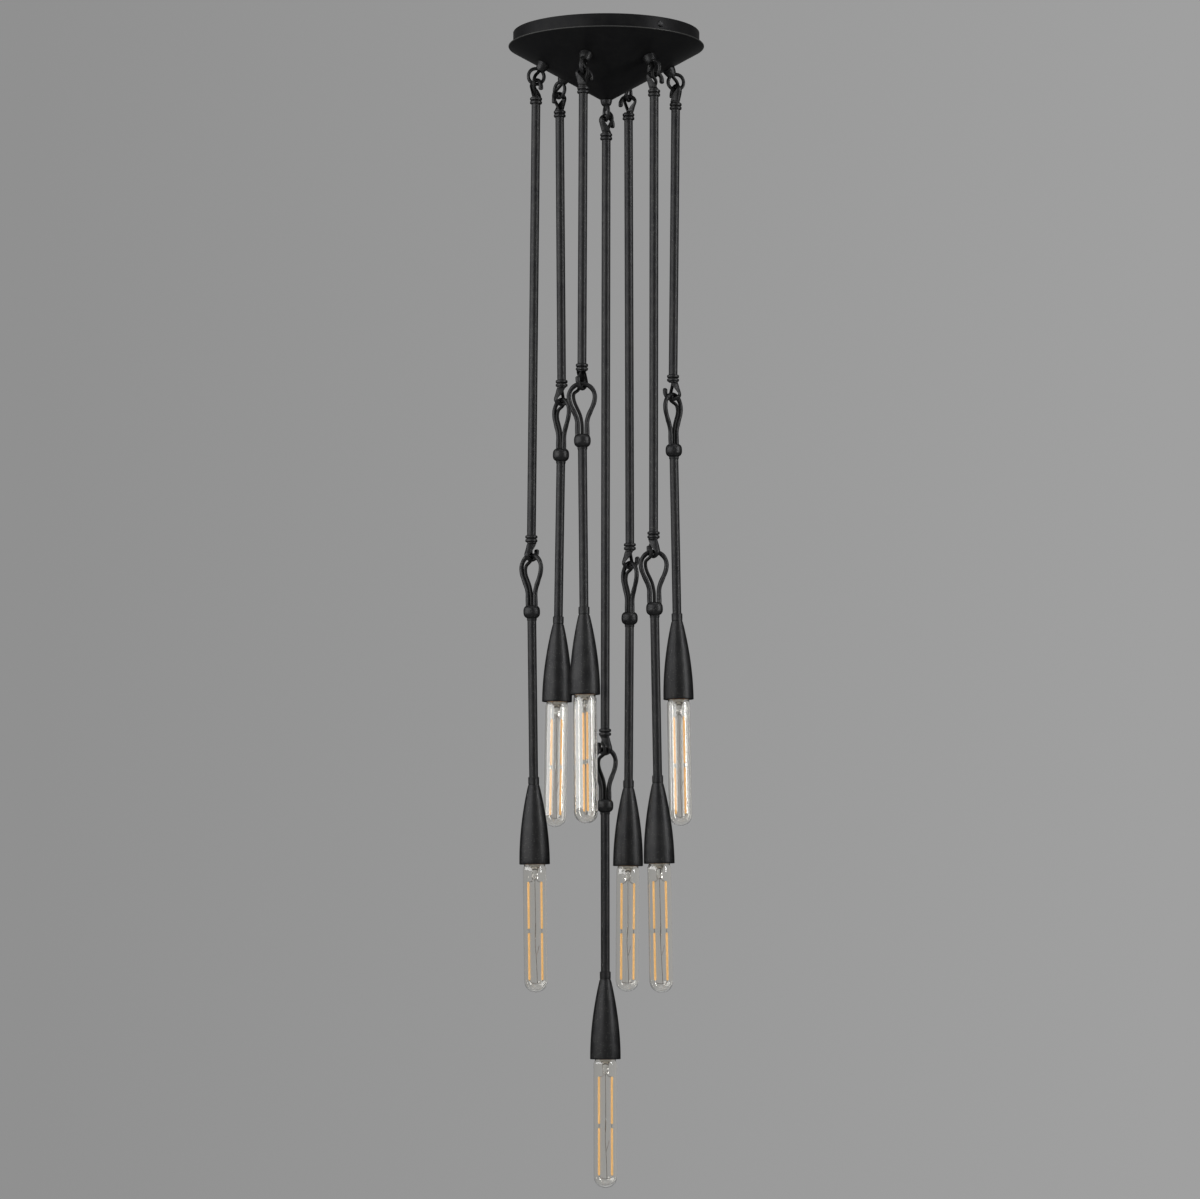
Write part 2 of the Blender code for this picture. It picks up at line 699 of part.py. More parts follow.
def bulb_mesh():
    """Lamp: screw cap with its contact on top, and a straight glass tube with a round end."""
    glass = GLASS_DIAMETER / 2
    cap = CAP_DIAMETER / 2
    cap_top = cup_mouth + CAP_LENGTH
    round_start = cup_mouth - GLASS_LENGTH + glass
    end = [
        (glass * math.cos(math.radians(angle)), round_start - glass * math.sin(math.radians(angle)))
        for angle in (0, 30, 60)
    ]
    outline = [
        (0.0, cap_top),
        (CONTACT_DIAMETER / 2, cap_top),
        (cap * CAP_END_SHARE, cap_top - CONTACT_HEIGHT),
        (cap, cap_top - 2 * CONTACT_HEIGHT),
        (cap, cup_mouth),
        (glass, cup_mouth - GLASS_SHOULDER),
        *end,
        (0.0, cup_mouth - GLASS_LENGTH),
    ]
    return settled(outline_object("bulb", outline, CUP_SIDES, closed=False))


def free_quarter(leg, tip):
    """The compass halfway through the wider quarter between a leg and the hook's plane."""
    apart = (tip - leg + 180.0) % 360.0 - 180.0
    if abs(apart) < 90.0:
        apart -= math.copysign(180.0, apart)
    return leg + apart / 2


def rounded_route(points):
    """The route with a point added along each longer bend, on a smooth curve through all."""
    ways = [(b - a).normalized() for a, b in zip(points, points[1:])]
    tangents = [ways[0]] + [(a + b).normalized() for a, b in zip(ways, ways[1:])] + [ways[-1]]
    full = [points[0]]
    for i, (a, b) in enumerate(zip(points, points[1:])):
        span = (b - a).length
        bend = math.degrees(tangents[i].angle(tangents[i + 1]))
        if BEND_STEP < span < SMOOTH_RUN and bend > BEND_ANGLE:
            full.append((a + b) / 2 + (tangents[i] - tangents[i + 1]) * span / 8)
        full.append(b)
    return full


def supply_cord(number, strand, upper, lower):
    """The cord from the ceiling box through eye, hook, rod, loop, knob and tube to the lampholder."""
    leg = strand["loop"] + (180.0 if strand["leg"] < 0 else 0.0)
    eye = eye_axes[number].matrix_world
    outward = strand["place"] if strand["place"] is not None else CENTRE_EYE_COMPASS + 180.0
    boss_end = eye_radius - BOSS_BITE_SHARE * EYE_WIRE
    nut_top = eye_nut_seat(strand) + NUT_THICKNESS
    along, side = strand["rise"]
    beside_bar = side * (BAR_WIDTH / 2 + CORD_CLEARANCE + CORD_DIAMETER / 2)
    rise = compass(SIDE_SCREW_COMPASS) * along * CORD_PITCH + compass(SIDE_SCREW_COMPASS + 90.0) * beside_bar
    under_box = rise - Vector((0, 0, CORD_BOX_DROP))
    over_nut = eye @ Vector((0, 0, nut_top + CORD_NUT_RISE))
    route = [rise - Vector((0, 0, CLEARANCE)), under_box, under_box.lerp(over_nut, 0.5), over_nut]
    route.append(eye @ Vector((0, 0, nut_top)))
    route.append(eye @ Vector((0, 0, boss_end)))
    quarter = compass(free_quarter(outward, strand["tips"][0]))
    here = upper.matrix_world
    route += [here @ (quarter * reach + Vector((0, 0, height))) for reach, height in TOP_CROSSING]
    mouth = HOOK_RISE + CORD_DIAMETER
    route.append(here @ Vector((0, 0, -mouth)))
    route.append(here @ Vector((0, 0, -HOOK_RISE - strand["rod"] + CORD_DIAMETER)))
    there = lower.matrix_world
    bow = here.to_3x3().to_4x4()
    bow.translation = there.translation
    quarter = compass(free_quarter(leg, strand["tips"][1]))
    route += [bow @ (quarter * reach + Vector((0, 0, height))) for reach, height in BOTTOM_CROSSING]
    beside = compass(leg)
    off = Vector((-beside.y, beside.x, 0.0))
    if off.dot(quarter) < 0:
        off = -off
    for reach, out, height in LOOP_RUN:
        route.append(there @ (beside * reach + off * out + Vector((0, 0, height))))
    route.append(there @ Vector((0, 0, knob_top)))
    route.append(there @ Vector((0, 0, pocket_floor + CLEARANCE)))
    cord = wire(f"supply_cord_{number}", rounded_route(route), CORD_DIAMETER)
    cord.data.materials.append(CORD_JACKET)
    link(cord, parts)
    return cord


def eye_nut_seat(strand):
    """How far the nut's face is above the ring's centre."""
    if strand["place"] is None:
        return CENTRE_EYE_DROP + sheet_rise + nut_radius * math.tan(slope) + CLEARANCE
    return EYE_DROP + SHEET + NUT_CLEARANCE


# Places of the eyes, and the pivots under them
eye_axes = {}
for number, strand in STRANDS.items():
    if strand["place"] is None:
        centre = Vector((0, 0, tip_height - CENTRE_EYE_DROP))
        turned = (0, 0, -math.radians(CENTRE_EYE_COMPASS))
    else:
        foot_radius = strand_radius - EYE_DROP * math.sin(slope)
        foot_height = tip_height + foot_radius * math.tan(slope)
        centre = compass(strand["place"]) * strand_radius
        centre.z = foot_height - EYE_DROP * math.cos(slope)
        turned = (0, -slope, -math.radians(strand["place"]))
    eye_axes[number] = axis_empty(f"eye_axis_{number}", location=centre, rotation=turned)

bpy.context.view_layer.update()
canopy_shell()
mounting_bar()
canopy_screws()

ring_eye = eye_mesh(EYE_DROP - CLEARANCE, eye_nut_seat(STRANDS[1]))
centre_seat = CENTRE_EYE_DROP + shank_hole_radius * math.tan(slope) - CLEARANCE
centre_eye = eye_mesh(centre_seat, eye_nut_seat(STRANDS[4]))
hook = hook_mesh()
loop = loop_mesh()
lower_tube = lower_tube_mesh()
socket_cup = socket_cup_mesh()
lampholder = lampholder_mesh()
bulb = bulb_mesh()

for number, strand in STRANDS.items():
    eye = centre_eye if strand["place"] is None else ring_eye
    piece(f"canopy_eye_{number}", eye, FORGED_IRON, eye_axes[number])
    rod_lean, drop_lean = strand["lean"]
    pivot = eye_axes[number].location + Vector((0, 0, eye_seat - eye_radius))
    upper = axis_empty(f"upper_pivot_{number}", None, pivot, (0, -math.radians(rod_lean), 0))
    reach = Vector((0, 0, -2 * HOOK_RISE - strand["rod"]))
    turn = (0, -math.radians(drop_lean - rod_lean), 0)
    lower = axis_empty(f"lower_pivot_{number}", upper, reach, turn)
    upper_rod(number, strand, upper, hook)
    heading = (0, 0, -math.radians(strand["loop"]))
    piece(f"link_loop_{number}", loop, FORGED_IRON, lower, rotation=heading)
    piece(f"lower_tube_{number}", lower_tube, FORGED_IRON, lower)
    piece(f"socket_cup_{number}", socket_cup, FORGED_IRON, lower)
    piece(f"lampholder_{number}", lampholder, PORCELAIN, lower)
    piece(f"bulb_{number}", bulb, CLEAR_GLASS, lower)
    bpy.context.view_layer.update()
    supply_cord(number, strand, upper, lower)
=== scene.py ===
# %% [markdown]
# # A seven-light pendant
# Seven black iron rods hang from a cone canopy. Each ends in a teardrop loop on a knob, a short
# tube, and a cup with a clear tubular filament lamp. The construction model gives every place and
# joint, and this file makes the surfaces that the eye sees, one kind of piece at a time.

import json

import bmesh
import bpy
import numpy as np
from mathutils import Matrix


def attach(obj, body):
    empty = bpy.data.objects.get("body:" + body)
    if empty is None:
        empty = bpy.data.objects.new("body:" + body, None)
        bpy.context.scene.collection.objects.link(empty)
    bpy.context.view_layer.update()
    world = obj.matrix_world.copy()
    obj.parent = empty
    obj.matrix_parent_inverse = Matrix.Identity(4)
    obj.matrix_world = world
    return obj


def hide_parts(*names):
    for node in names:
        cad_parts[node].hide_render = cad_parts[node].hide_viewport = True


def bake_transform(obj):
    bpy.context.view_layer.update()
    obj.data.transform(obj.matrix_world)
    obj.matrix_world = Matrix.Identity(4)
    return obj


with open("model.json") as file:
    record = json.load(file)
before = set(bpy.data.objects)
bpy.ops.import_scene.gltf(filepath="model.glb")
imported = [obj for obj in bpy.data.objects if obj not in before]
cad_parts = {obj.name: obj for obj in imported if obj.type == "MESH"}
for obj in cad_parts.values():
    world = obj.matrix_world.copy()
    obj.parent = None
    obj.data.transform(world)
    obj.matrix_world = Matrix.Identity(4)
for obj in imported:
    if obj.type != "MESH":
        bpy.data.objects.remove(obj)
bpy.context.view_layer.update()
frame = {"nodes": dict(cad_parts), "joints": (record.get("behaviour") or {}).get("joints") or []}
joints = {joint["name"]: joint for joint in frame["joints"]}

# %% [markdown]
# The light was photographed from over five metres away with a long lens, from a little under its
# middle, so the rods hardly draw together. A lens's length follows from its focal length in
# pixels, the sensor's width and the picture's width.

# %% Camera
IMAGE_WIDTH = 1200
FOCAL_PIXELS = 4300
SENSOR_WIDTH = 36.0
CAMERA_PLACE = (-0.0080, -5.42, -1.172)
CAMERA_TILT = np.radians(4.70)

camera_data = bpy.data.cameras.new("camera")
camera_data.sensor_width = SENSOR_WIDTH
camera_data.lens = SENSOR_WIDTH * FOCAL_PIXELS / IMAGE_WIDTH
camera = bpy.data.objects.new("camera", camera_data)
camera.location = CAMERA_PLACE
camera.rotation_euler = (np.pi / 2 + CAMERA_TILT, 0.0, 0.0)
bpy.context.scene.collection.objects.link(camera)
bpy.context.scene.camera = camera
print("lens", camera_data.lens, "mm")

# %% [markdown]
# Every strand is the same kit of parts at another place. Its joints say where the hook hangs in
# the ring and the loop in the lower hook, and the lamp's turning axis says how its drop leans. The
# hooks and loops were hung by hand, so each has its own heading: a compass angle here is in
# degrees from +X round towards the front.

# %% Strands
STRANDS = {
    1: dict(tips=(53, -49), loop=40, leg=-1, rise=(0, 1), lamp=3),
    2: dict(tips=(135, -25), loop=54, leg=-1, rise=(-1, 1), lamp=38),
    3: dict(tips=(-15, 120), loop=0, leg=-1, rise=(1, 1), lamp=73),
    4: dict(tips=(-38, 220), loop=-34, leg=-1, rise=(0, -1), lamp=8),
    5: dict(tips=(175, -20), loop=58, leg=-1, rise=(-1, -1), lamp=-14),
    6: dict(tips=(-16, 235), loop=-5, leg=-1, rise=(2, -1), lamp=22),
    7: dict(tips=(241, 188), loop=-52, leg=1, rise=(1, -1), lamp=42),
}
CENTRE = 4
CENTRE_EYE_COMPASS = 255.0
CONE_DEPTH = 0.0725
RIM_RADIUS = 0.125
CANOPY_SLOPE = np.arctan2(CONE_DEPTH, RIM_RADIUS)


def compass(degrees):
    """The level direction (cos a, -sin a, 0) at a compass angle a."""
    angle = np.radians(degrees)
    return np.array([np.cos(angle), -np.sin(angle), 0.0])


def over(height):
    """The way straight up by a height."""
    return np.array([0.0, 0.0, height])


def turn_about_z(degrees):
    """A matrix that turns +X to a compass angle, about +Z."""
    ahead = compass(degrees)
    return np.array([[ahead[0], -ahead[1], 0.0], [ahead[1], ahead[0], 0.0], [0.0, 0.0, 1.0]])


def lean_along(up):
    """A matrix whose third column is up, and whose second stays +Y."""
    up = up / np.linalg.norm(up)
    level = np.array([0.0, 1.0, 0.0])
    across = np.cross(level, up)
    across /= np.linalg.norm(across)
    return np.stack([across, np.cross(up, across), up], axis=1)


for number, strand in STRANDS.items():
    upper = np.array(joints[f"rod_swing_{number}"]["pos_m"])
    lower = np.array(joints[f"drop_swing_{number}"]["pos_m"])
    strand["upper"], strand["lower"] = upper, lower
    strand["rod"] = lean_along(upper - lower)
    strand["drop"] = lean_along(np.array(joints[f"lamp_turn_{number}"]["axis"]))
    strand["length"] = np.linalg.norm(upper - lower)
    strand["place"] = np.degrees(np.arctan2(-upper[1], upper[0]))
print("rods between their pivots:", [round(strand["length"], 3) for strand in STRANDS.values()])

# %% [markdown]
# A smooth curve is asked for again and again: for cords, hooks and turned outlines. One function
# passes it through a few chosen points. Each span is a cubic that meets its points with the slope
# of the curve there, and the slope leans towards the nearer neighbour.

# %% A curve through points


def through(keys, count):
    """A curve through every key, at evenly spaced places. With t the length along the keys, h a
    span and u the share of it, a point is (2u3-3u2+1)p0 + (u3-2u2+u)h m0 + (3u2-2u3)p1 + (u3-u2)h m1."""
    keys = np.asarray(keys, float)
    steps = np.linalg.norm(np.diff(keys[:, :3], axis=0), axis=1)
    along = np.concatenate([[0.0], np.cumsum(steps)])
    slopes = np.gradient(keys, along, axis=0)
    places = np.linspace(0.0, along[-1], count)
    span = np.clip(np.searchsorted(along, places, side="right") - 1, 0, len(keys) - 2)
    width = (along[span + 1] - along[span])[:, None]
    u = (places[:, None] - along[span][:, None]) / width
    start, end = keys[span], keys[span + 1]
    leave, arrive = slopes[span] * width, slopes[span + 1] * width
    bend = (u**3 - 2 * u**2 + u) * leave + (u**3 - u**2) * arrive
    return (2 * u**3 - 3 * u**2 + 1) * start + (3 * u**2 - 2 * u**3) * end + bend


# %% [markdown]
# A grid of points becomes a mesh once each cell is a face. Columns run round a piece and close on
# themselves. Rows run along it, and either close on themselves too, as in a ring or a hollow
# shell, or end in a cap. A piece may hold several such skins, as a forging holds its parts.

# %% Skins and pieces
WELD = 0.000001
SHARP_ANGLE = np.radians(38)


def skin(points, loop=False):
    """Corners and faces over a grid of rows x columns x 3. The faces point outwards: where the sum
    of a . (b x c) over the cells, six times the volume about the middle, is negative, they turn."""
    rows, columns = points.shape[:2]
    index = np.arange(rows * columns).reshape(rows, columns)
    here = index if loop else index[:-1]
    below = np.roll(index, -1, axis=0) if loop else index[1:]
    cells = np.stack([here, below, np.roll(below, -1, axis=1), np.roll(here, -1, axis=1)], axis=-1)
    cells = cells.reshape(-1, 4)
    corners = points.reshape(-1, 3)
    a, b, c, d = np.moveaxis((corners - corners.mean(axis=0))[cells], 1, 0)
    volume = np.sum(a * np.cross(b, c)) + np.sum(a * np.cross(c, d))
    faces = cells.tolist()
    if not loop:
        faces += [index[0].tolist(), index[-1][::-1].tolist()]
    if volume < 0:
        faces = [face[::-1] for face in faces]
    return corners, faces


def mesh_of(name, skins):
    """One mesh of several skins, with its poles and seams welded and its round faces smooth."""
    corners, faces, count = [], [], 0
    for points, cells in skins:
        corners.append(points)
        faces += [[corner + count for corner in cell] for cell in cells]
        count += len(points)
    mesh = bpy.data.meshes.new(name)
    mesh.from_pydata(np.concatenate(corners).tolist(), [], faces)
    welded = bmesh.new()
    welded.from_mesh(mesh)
    bmesh.ops.remove_doubles(welded, verts=welded.verts, dist=WELD)
    bmesh.ops.dissolve_degenerate(welded, edges=welded.edges, dist=WELD)
    welded.to_mesh(mesh)
    welded.free()
    mesh.shade_smooth()
    mesh.set_sharp_from_angle(angle=SHARP_ANGLE)
    return mesh


def piece(name, skins, finish, node, body=None):
    """A named piece of one finish. It hides the construction solid that it stands for, and moves
    with a body if one is given. A cord is given none."""
    made = bpy.data.objects.new(name, mesh_of(name, skins))
    made.data.materials.append(finish)
    bpy.context.scene.collection.objects.link(made)
    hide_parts(node)
    if body:
        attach(made, body)
    return made


def stacked(*parts):
    """Points from their parts: arrays or plain numbers, spread to one shape and set side by side."""
    return np.stack(np.broadcast_arrays(*parts), axis=-1)


def turned(profile, sides):
    """A profile of (radius r, height h) turned round +Z: (r cos u, r sin u, h) for each u."""
    radius, height = np.asarray(profile, float).T[..., None]
    u = 2 * np.pi * np.arange(sides) / sides
    return stacked(radius * np.cos(u), radius * np.sin(u), height)


def swept(path, radius, sides, beside):
    """A round section carried along a path. With n the direction beside, freed of its part along
    the path, and b = n x t, a ring is the path's point + radius (n cos u + b sin u)."""
    ahead = np.gradient(path, axis=0)
    ahead /= np.linalg.norm(ahead, axis=1, keepdims=True)
    near = beside - (ahead @ beside)[:, None] * ahead
    near /= np.linalg.norm(near, axis=1, keepdims=True)
    over = np.cross(near, ahead)
    u = 2 * np.pi * np.arange(sides) / sides
    radius = np.broadcast_to(radius, len(path))[:, None, None]
    ring = near[:, None] * np.cos(u)[:, None] + over[:, None] * np.sin(u)[:, None]
    return path[:, None] + radius * ring


# %% [markdown]
# A finish is a node tree that ends in one Principled shader. A small function adds a node with its
# settings and links, and another turns a colour as a painter reads it, in sRGB hex, into the linear
# values that light is added up in.

# %% Materials: the tools


def linear(code):
    """sRGB hex to linear light: c / 12.92 in the darkest part, else ((c + 0.055) / 1.055) ** 2.4."""
    value = np.array([int(code[i : i + 2], 16) for i in (1, 3, 5)]) / 255
    light = np.where(value <= 0.04045, value / 12.92, ((value + 0.055) / 1.055) ** 2.4)
    return (*light.tolist(), 1.0)


def add(tree, kind, inputs=None, **settings):
    """A node of a kind, with its settings, and each input set to a value or linked to a socket."""
    made = tree.nodes.new("ShaderNode" + kind)
    for key, value in settings.items():
        setattr(made, key, value)
    for key, value in (inputs or {}).items():
        if isinstance(value, bpy.types.NodeSocket):
            tree.links.new(value, made.inputs[key])
        else:
            made.inputs[key].default_value = value
    return made


def finish(name, **values):
    """A new material, its tree and its Principled shader with constant values on its sockets."""
    made = bpy.data.materials.new(name)
    made.use_nodes = True
    shader = made.node_tree.nodes["Principled BSDF"]
    for key, value in values.items():
        shader.inputs[key.replace("_", " ")].default_value = value
    return made, made.node_tree, shader


def noise(tree, scale, detail, lengthwise=1.0, **inputs):
    """Soft noise over a piece's own axes, drawn out along Z by one over lengthwise."""
    place = add(tree, "TexCoord").outputs["Object"]
    place = add(tree, "Mapping", {"Vector": place, "Scale": (1.0, 1.0, lengthwise)}).outputs["Vector"]
    inputs.update({"Vector": place, "Scale": scale, "Detail": detail})
    return add(tree, "TexNoise", inputs).outputs["Fac"]


def ramp(tree, factor, start, end):
    """A colour ramp on a factor, from one (place, hex colour) to another."""
    made = add(tree, "ValToRGB", {"Fac": factor})
    for stop, (place, code) in zip(made.color_ramp.elements, (start, end)):
        stop.position, stop.color = place, linear(code)
    return made.outputs["Color"]


def remap(tree, value, low, high, to_low=0.0, to_high=1.0):
    """A value moved from the span between low and high to another, and held inside it."""
    spans = {"From Min": low, "From Max": high, "To Min": to_low, "To Max": to_high}
    return add(tree, "MapRange", {"Value": value, **spans}).outputs["Result"]


def paint(shader, tree, factor, start, end):
    """Colour a shader by a ramp on a factor."""
    tree.links.new(ramp(tree, factor, start, end), shader.inputs["Base Color"])


def emboss(shader, tree, height, strength, distance):
    """Tilt a shader's normal as if its surface stood up by a height times a distance in metres."""
    bump = add(tree, "Bump", {"Height": height, "Strength": strength, "Distance": distance})
    tree.links.new(bump.outputs["Normal"], shader.inputs["Normal"])


# %% [markdown]
# The iron wears a black textured powder coat. The powder is sprayed dry and melts in an oven into
# fine grains, so it scatters light and shows pale specks where a grain faces the lamp. Those glints
# are painted highlights here: a random share of grains is coloured pale, whatever the lamp. Real
# grains are about a third of a millimetre. They are drawn several times coarser here, because finer
# ones would vanish at this distance. The powder holds dark metal flake: a share of metal with a grey
# edge tint keeps the rims of rods and cups from flashing white, as a plain gloss would. The
# canopy's coat is the same powder in a finer, darker grain.

# %% Powder coats
COAT_DARK = "#272728"
COAT_MIDDLE = "#323232"
SPUN_DARK = "#19191a"
SPUN_MIDDLE = "#1e1e1e"
COAT_GLINT_SPECK = "#50504e"
SPUN_GLINT_SPECK = "#242424"
FORGED_EDGE = "#6a6a6a"
SPUN_EDGE = "#c4c4c4"
COAT_ROUGHNESS = 0.39


def powder_coat(name, ground, glint_speck, edge, grain, glint_share, depth, flake):
    """A black powder coat: cells one grain wide, a share of them pale as painted glints of grains
    that catch the light, over cloudy patches. Ground is its dark and middle colour, and edge the tint
    that flake takes where it is seen aslant."""
    made, tree, shader = finish(
        name, Metallic=flake, Specular_IOR_Level=0.0, Specular_Tint=linear(edge)
    )
    clouds = noise(tree, 0.12 / grain, 4.0, Roughness=0.6)
    fine = noise(tree, 2.4 / grain, 2.0, Roughness=0.55)
    place = add(tree, "TexCoord").outputs["Object"]
    cells = add(tree, "TexVoronoi", {"Vector": place, "Scale": 1 / grain})
    chance = add(tree, "SeparateColor", {"Color": cells.outputs["Color"]}).outputs["Red"]
    # Painted glints: a random share of grains is coloured pale, brightest at their middles, whatever the
    # lamp.
    picked = remap(tree, chance, 1 - glint_share, 1 - glint_share / 3)
    uneven = add(tree, "Math", {0: cells.outputs["Distance"], 1: fine}, operation="ADD").outputs["Value"]
    middle = remap(tree, uneven, 0.88, 0.60)
    share = add(tree, "Math", {0: picked, 1: middle}, operation="MULTIPLY").outputs["Value"]
    base = ramp(tree, clouds, (0.30, ground[0]), (0.72, ground[1]))
    coat = add(tree, "Mix", {0: share, 6: base, 7: linear(glint_speck)}, data_type="RGBA").outputs[2]
    tree.links.new(coat, shader.inputs["Base Color"])
    rough = remap(tree, clouds, 0.0, 1.0, COAT_ROUGHNESS - 0.08, COAT_ROUGHNESS + 0.10)
    tree.links.new(rough, shader.inputs["Roughness"])
    height = add(tree, "Math", {0: middle, 1: fine}, operation="ADD").outputs["Value"]
    emboss(shader, tree, height, 0.55, depth)
    return made


FORGED_COAT = powder_coat(
    "textured_black_powder_coat_on_forged_iron",
    ground=(COAT_DARK, COAT_MIDDLE),
    glint_speck=COAT_GLINT_SPECK,
    edge=FORGED_EDGE,
    grain=0.0018,
    glint_share=0.32,
    depth=0.00016,
    flake=0.72,
)
SPUN_COAT = powder_coat(
    "fine_black_powder_coat_on_spun_sheet",
    ground=(SPUN_DARK, SPUN_MIDDLE),
    glint_speck=SPUN_GLINT_SPECK,
    edge=SPUN_EDGE,
    grain=0.0012,
    glint_share=0.05,
    depth=0.00003,
    flake=0.45,
)
print("powder coats:", FORGED_COAT.name, SPUN_COAT.name)

# %% [markdown]
# The cord has an extruded PVC jacket, matt and nearly black. Extrusion leaves faint streaks along
# it and a soft sheen on its crown, which is what tells a cord from painted iron.

# %% Cord jacket
CORD_BLACK = "#050505"
CORD_WORN = "#0b0b0b"


def pvc_jacket():
    """Black extruded PVC: patches a few millimetres long, and a fine matt skin."""
    made, tree, shader = finish(
        "black_extruded_pvc_jacket", IOR=1.53, Roughness=0.5, Specular_IOR_Level=0.13
    )
    streaks = noise(tree, 900.0, 3.0, lengthwise=0.15)
    paint(shader, tree, streaks, (0.35, CORD_BLACK), (0.7, CORD_WORN))
    emboss(shader, tree, streaks, 0.25, 0.0001)
    return made


JACKET = pvc_jacket()

# %% [markdown]
# Each cord comes down beside the mounting bar, runs through the eye's bored shank, slips past the
# hook on its free side, drops through the rod, passes the lower hook and the loop the same way, and
# ends in the lampholder. Its route points were chosen one by one where it threads past the links. It
# is made in two lengths that meet inside the rod.

# %% Cord route
CORD_DIAMETER = 0.0043
CORD_PITCH = 0.007
CORD_BOX_DROP = 0.016
CORD_NUT_RISE = 0.011
BESIDE_BAR = 0.0179
BAR_COMPASS = 55.0
EYE_RADIUS = 0.0101
EYE_SEAT = 0.00515
EYE_WIRE_RADIUS = 0.0022
BOSS_END = 0.00856
RING_NUT_TOP = 0.0251
CENTRE_NUT_TOP = 0.02238
HOOK_RISE = 0.0213
KNOB_TOP = -0.05695
POCKET_FLOOR = -0.35495
STRAIGHT_RUN = 0.030
HAIR_GAP = 0.0003
TOP_CROSSING = [
    (0.0034, 0.0053, 0.0),
    (0.0071, 0.0006, 0.0),
    (0.0076, -0.0055, 0.0),
    (0.0045, -0.0122, 45.0),
    (0.0006, -0.0205, 45.0),
]
BOTTOM_CROSSING = [
    (0.0005, 0.0208, 45.0),
    (0.0043, 0.0132, 45.0),
    (0.0078, 0.0063, 0.0),
    (0.0078, 0.0002, 0.0),
]
LOOP_RUN = [
    (0.0103, 0.0022, -0.0072),
    (0.0102, 0.0006, -0.0132),
    (0.0085, 0.0, -0.0195),
    (0.0058, 0.0, -0.0255),
    (0.0026, 0.0, -0.0330),
    (0.0004, 0.0, -0.0430),
]

for number, strand in STRANDS.items():
    strand["eye_origin"] = strand["upper"] + over(EYE_RADIUS - EYE_SEAT)
    if number == CENTRE:
        strand["eye"] = turn_about_z(CENTRE_EYE_COMPASS)
        strand["outward"] = CENTRE_EYE_COMPASS + 180.0
        strand["nut_top"] = CENTRE_NUT_TOP
    else:
        heading = turn_about_z(strand["place"])
        outward = heading @ np.array([np.cos(CANOPY_SLOPE), 0.0, np.sin(CANOPY_SLOPE)])
        up = heading @ np.array([-np.sin(CANOPY_SLOPE), 0.0, np.cos(CANOPY_SLOPE)])
        strand["eye"] = np.stack([outward, np.cross(up, outward), up], axis=1)
        strand["outward"] = strand["place"]
        strand["nut_top"] = RING_NUT_TOP


def free_quarter(leg, tip):
    """The compass halfway through the wider quarter between a leg and the hook's plane."""
    apart = (tip - leg + 180.0) % 360.0 - 180.0
    if abs(apart) < 90.0:
        apart -= np.copysign(180.0, apart)
    return leg + apart / 2


def crossing(points, leg, tip):
    """Points (reach, height, turn) in the free quarter. Where the quarter lies beside the hook's
    spout, each is turned by its last number towards the tip, out of the spout's way."""
    quarter = free_quarter(leg, tip)
    apart = (tip - quarter + 180.0) % 360.0 - 180.0
    way = np.sign(apart) * (abs(apart) > 90.0)
    return [compass(quarter + way * turn) * reach + over(height) for reach, height, turn in points]


def upper_route(strand):
    """From the ceiling box past the upper hook to the middle of the rod."""
    along, side = strand["rise"]
    rise = compass(BAR_COMPASS) * along * CORD_PITCH + compass(BAR_COMPASS + 90) * side * BESIDE_BAR
    eye, centre = strand["eye"], strand["eye_origin"]
    under_box = rise - over(CORD_BOX_DROP)
    over_nut = centre + eye @ over(strand["nut_top"] + CORD_NUT_RISE)
    route = [rise - over(HAIR_GAP), under_box, (under_box + over_nut) / 2, over_nut]
    route += [centre + eye @ over(strand["nut_top"]), centre + eye @ over(BOSS_END)]
    rod, pivot = strand["rod"], strand["upper"]
    past = crossing(TOP_CROSSING, strand["outward"], strand["tips"][0])
    route += [pivot + rod @ point for point in past]
    depths = (HOOK_RISE + CORD_DIAMETER, HOOK_RISE + STRAIGHT_RUN, strand["length"] / 2)
    route += [pivot - rod @ over(depth) for depth in depths]
    return np.array(route)


def lower_route(strand):
    """From the middle of the rod past the lower hook and down the drop to the lampholder."""
    rod, drop, pivot = strand["rod"], strand["drop"], strand["lower"]
    heights = (strand["length"] / 2, HOOK_RISE + STRAIGHT_RUN, HOOK_RISE + CORD_DIAMETER)
    route = [pivot + rod @ over(height) for height in heights]
    leg = strand["loop"] + (180.0 if strand["leg"] < 0 else 0.0)
    quarter = compass(free_quarter(leg, strand["tips"][1]))
    past = crossing(BOTTOM_CROSSING, leg, strand["tips"][1])
    route += [pivot + rod @ point for point in past]
    beside = compass(leg)
    off = np.array([-beside[1], beside[0], 0.0])
    off = off * np.sign(off @ quarter)
    reach, out, height = np.array(LOOP_RUN).T[..., None]
    route += list(pivot + (reach * beside + out * off + height * over(1.0)) @ drop.T)
    depths = (KNOB_TOP, KNOB_TOP - STRAIGHT_RUN, POCKET_FLOOR + HAIR_GAP)
    route += [pivot + drop @ over(depth) for depth in depths]
    return np.array(route)


counts = [len(route(STRANDS[1])) for route in (upper_route, lower_route)]
print("route points:", counts[0], "above and", counts[1], "below")

# %% Cords
CORD_SIDES = 16
CORD_STEP = 0.0016
BLEND_REACH = 0.016

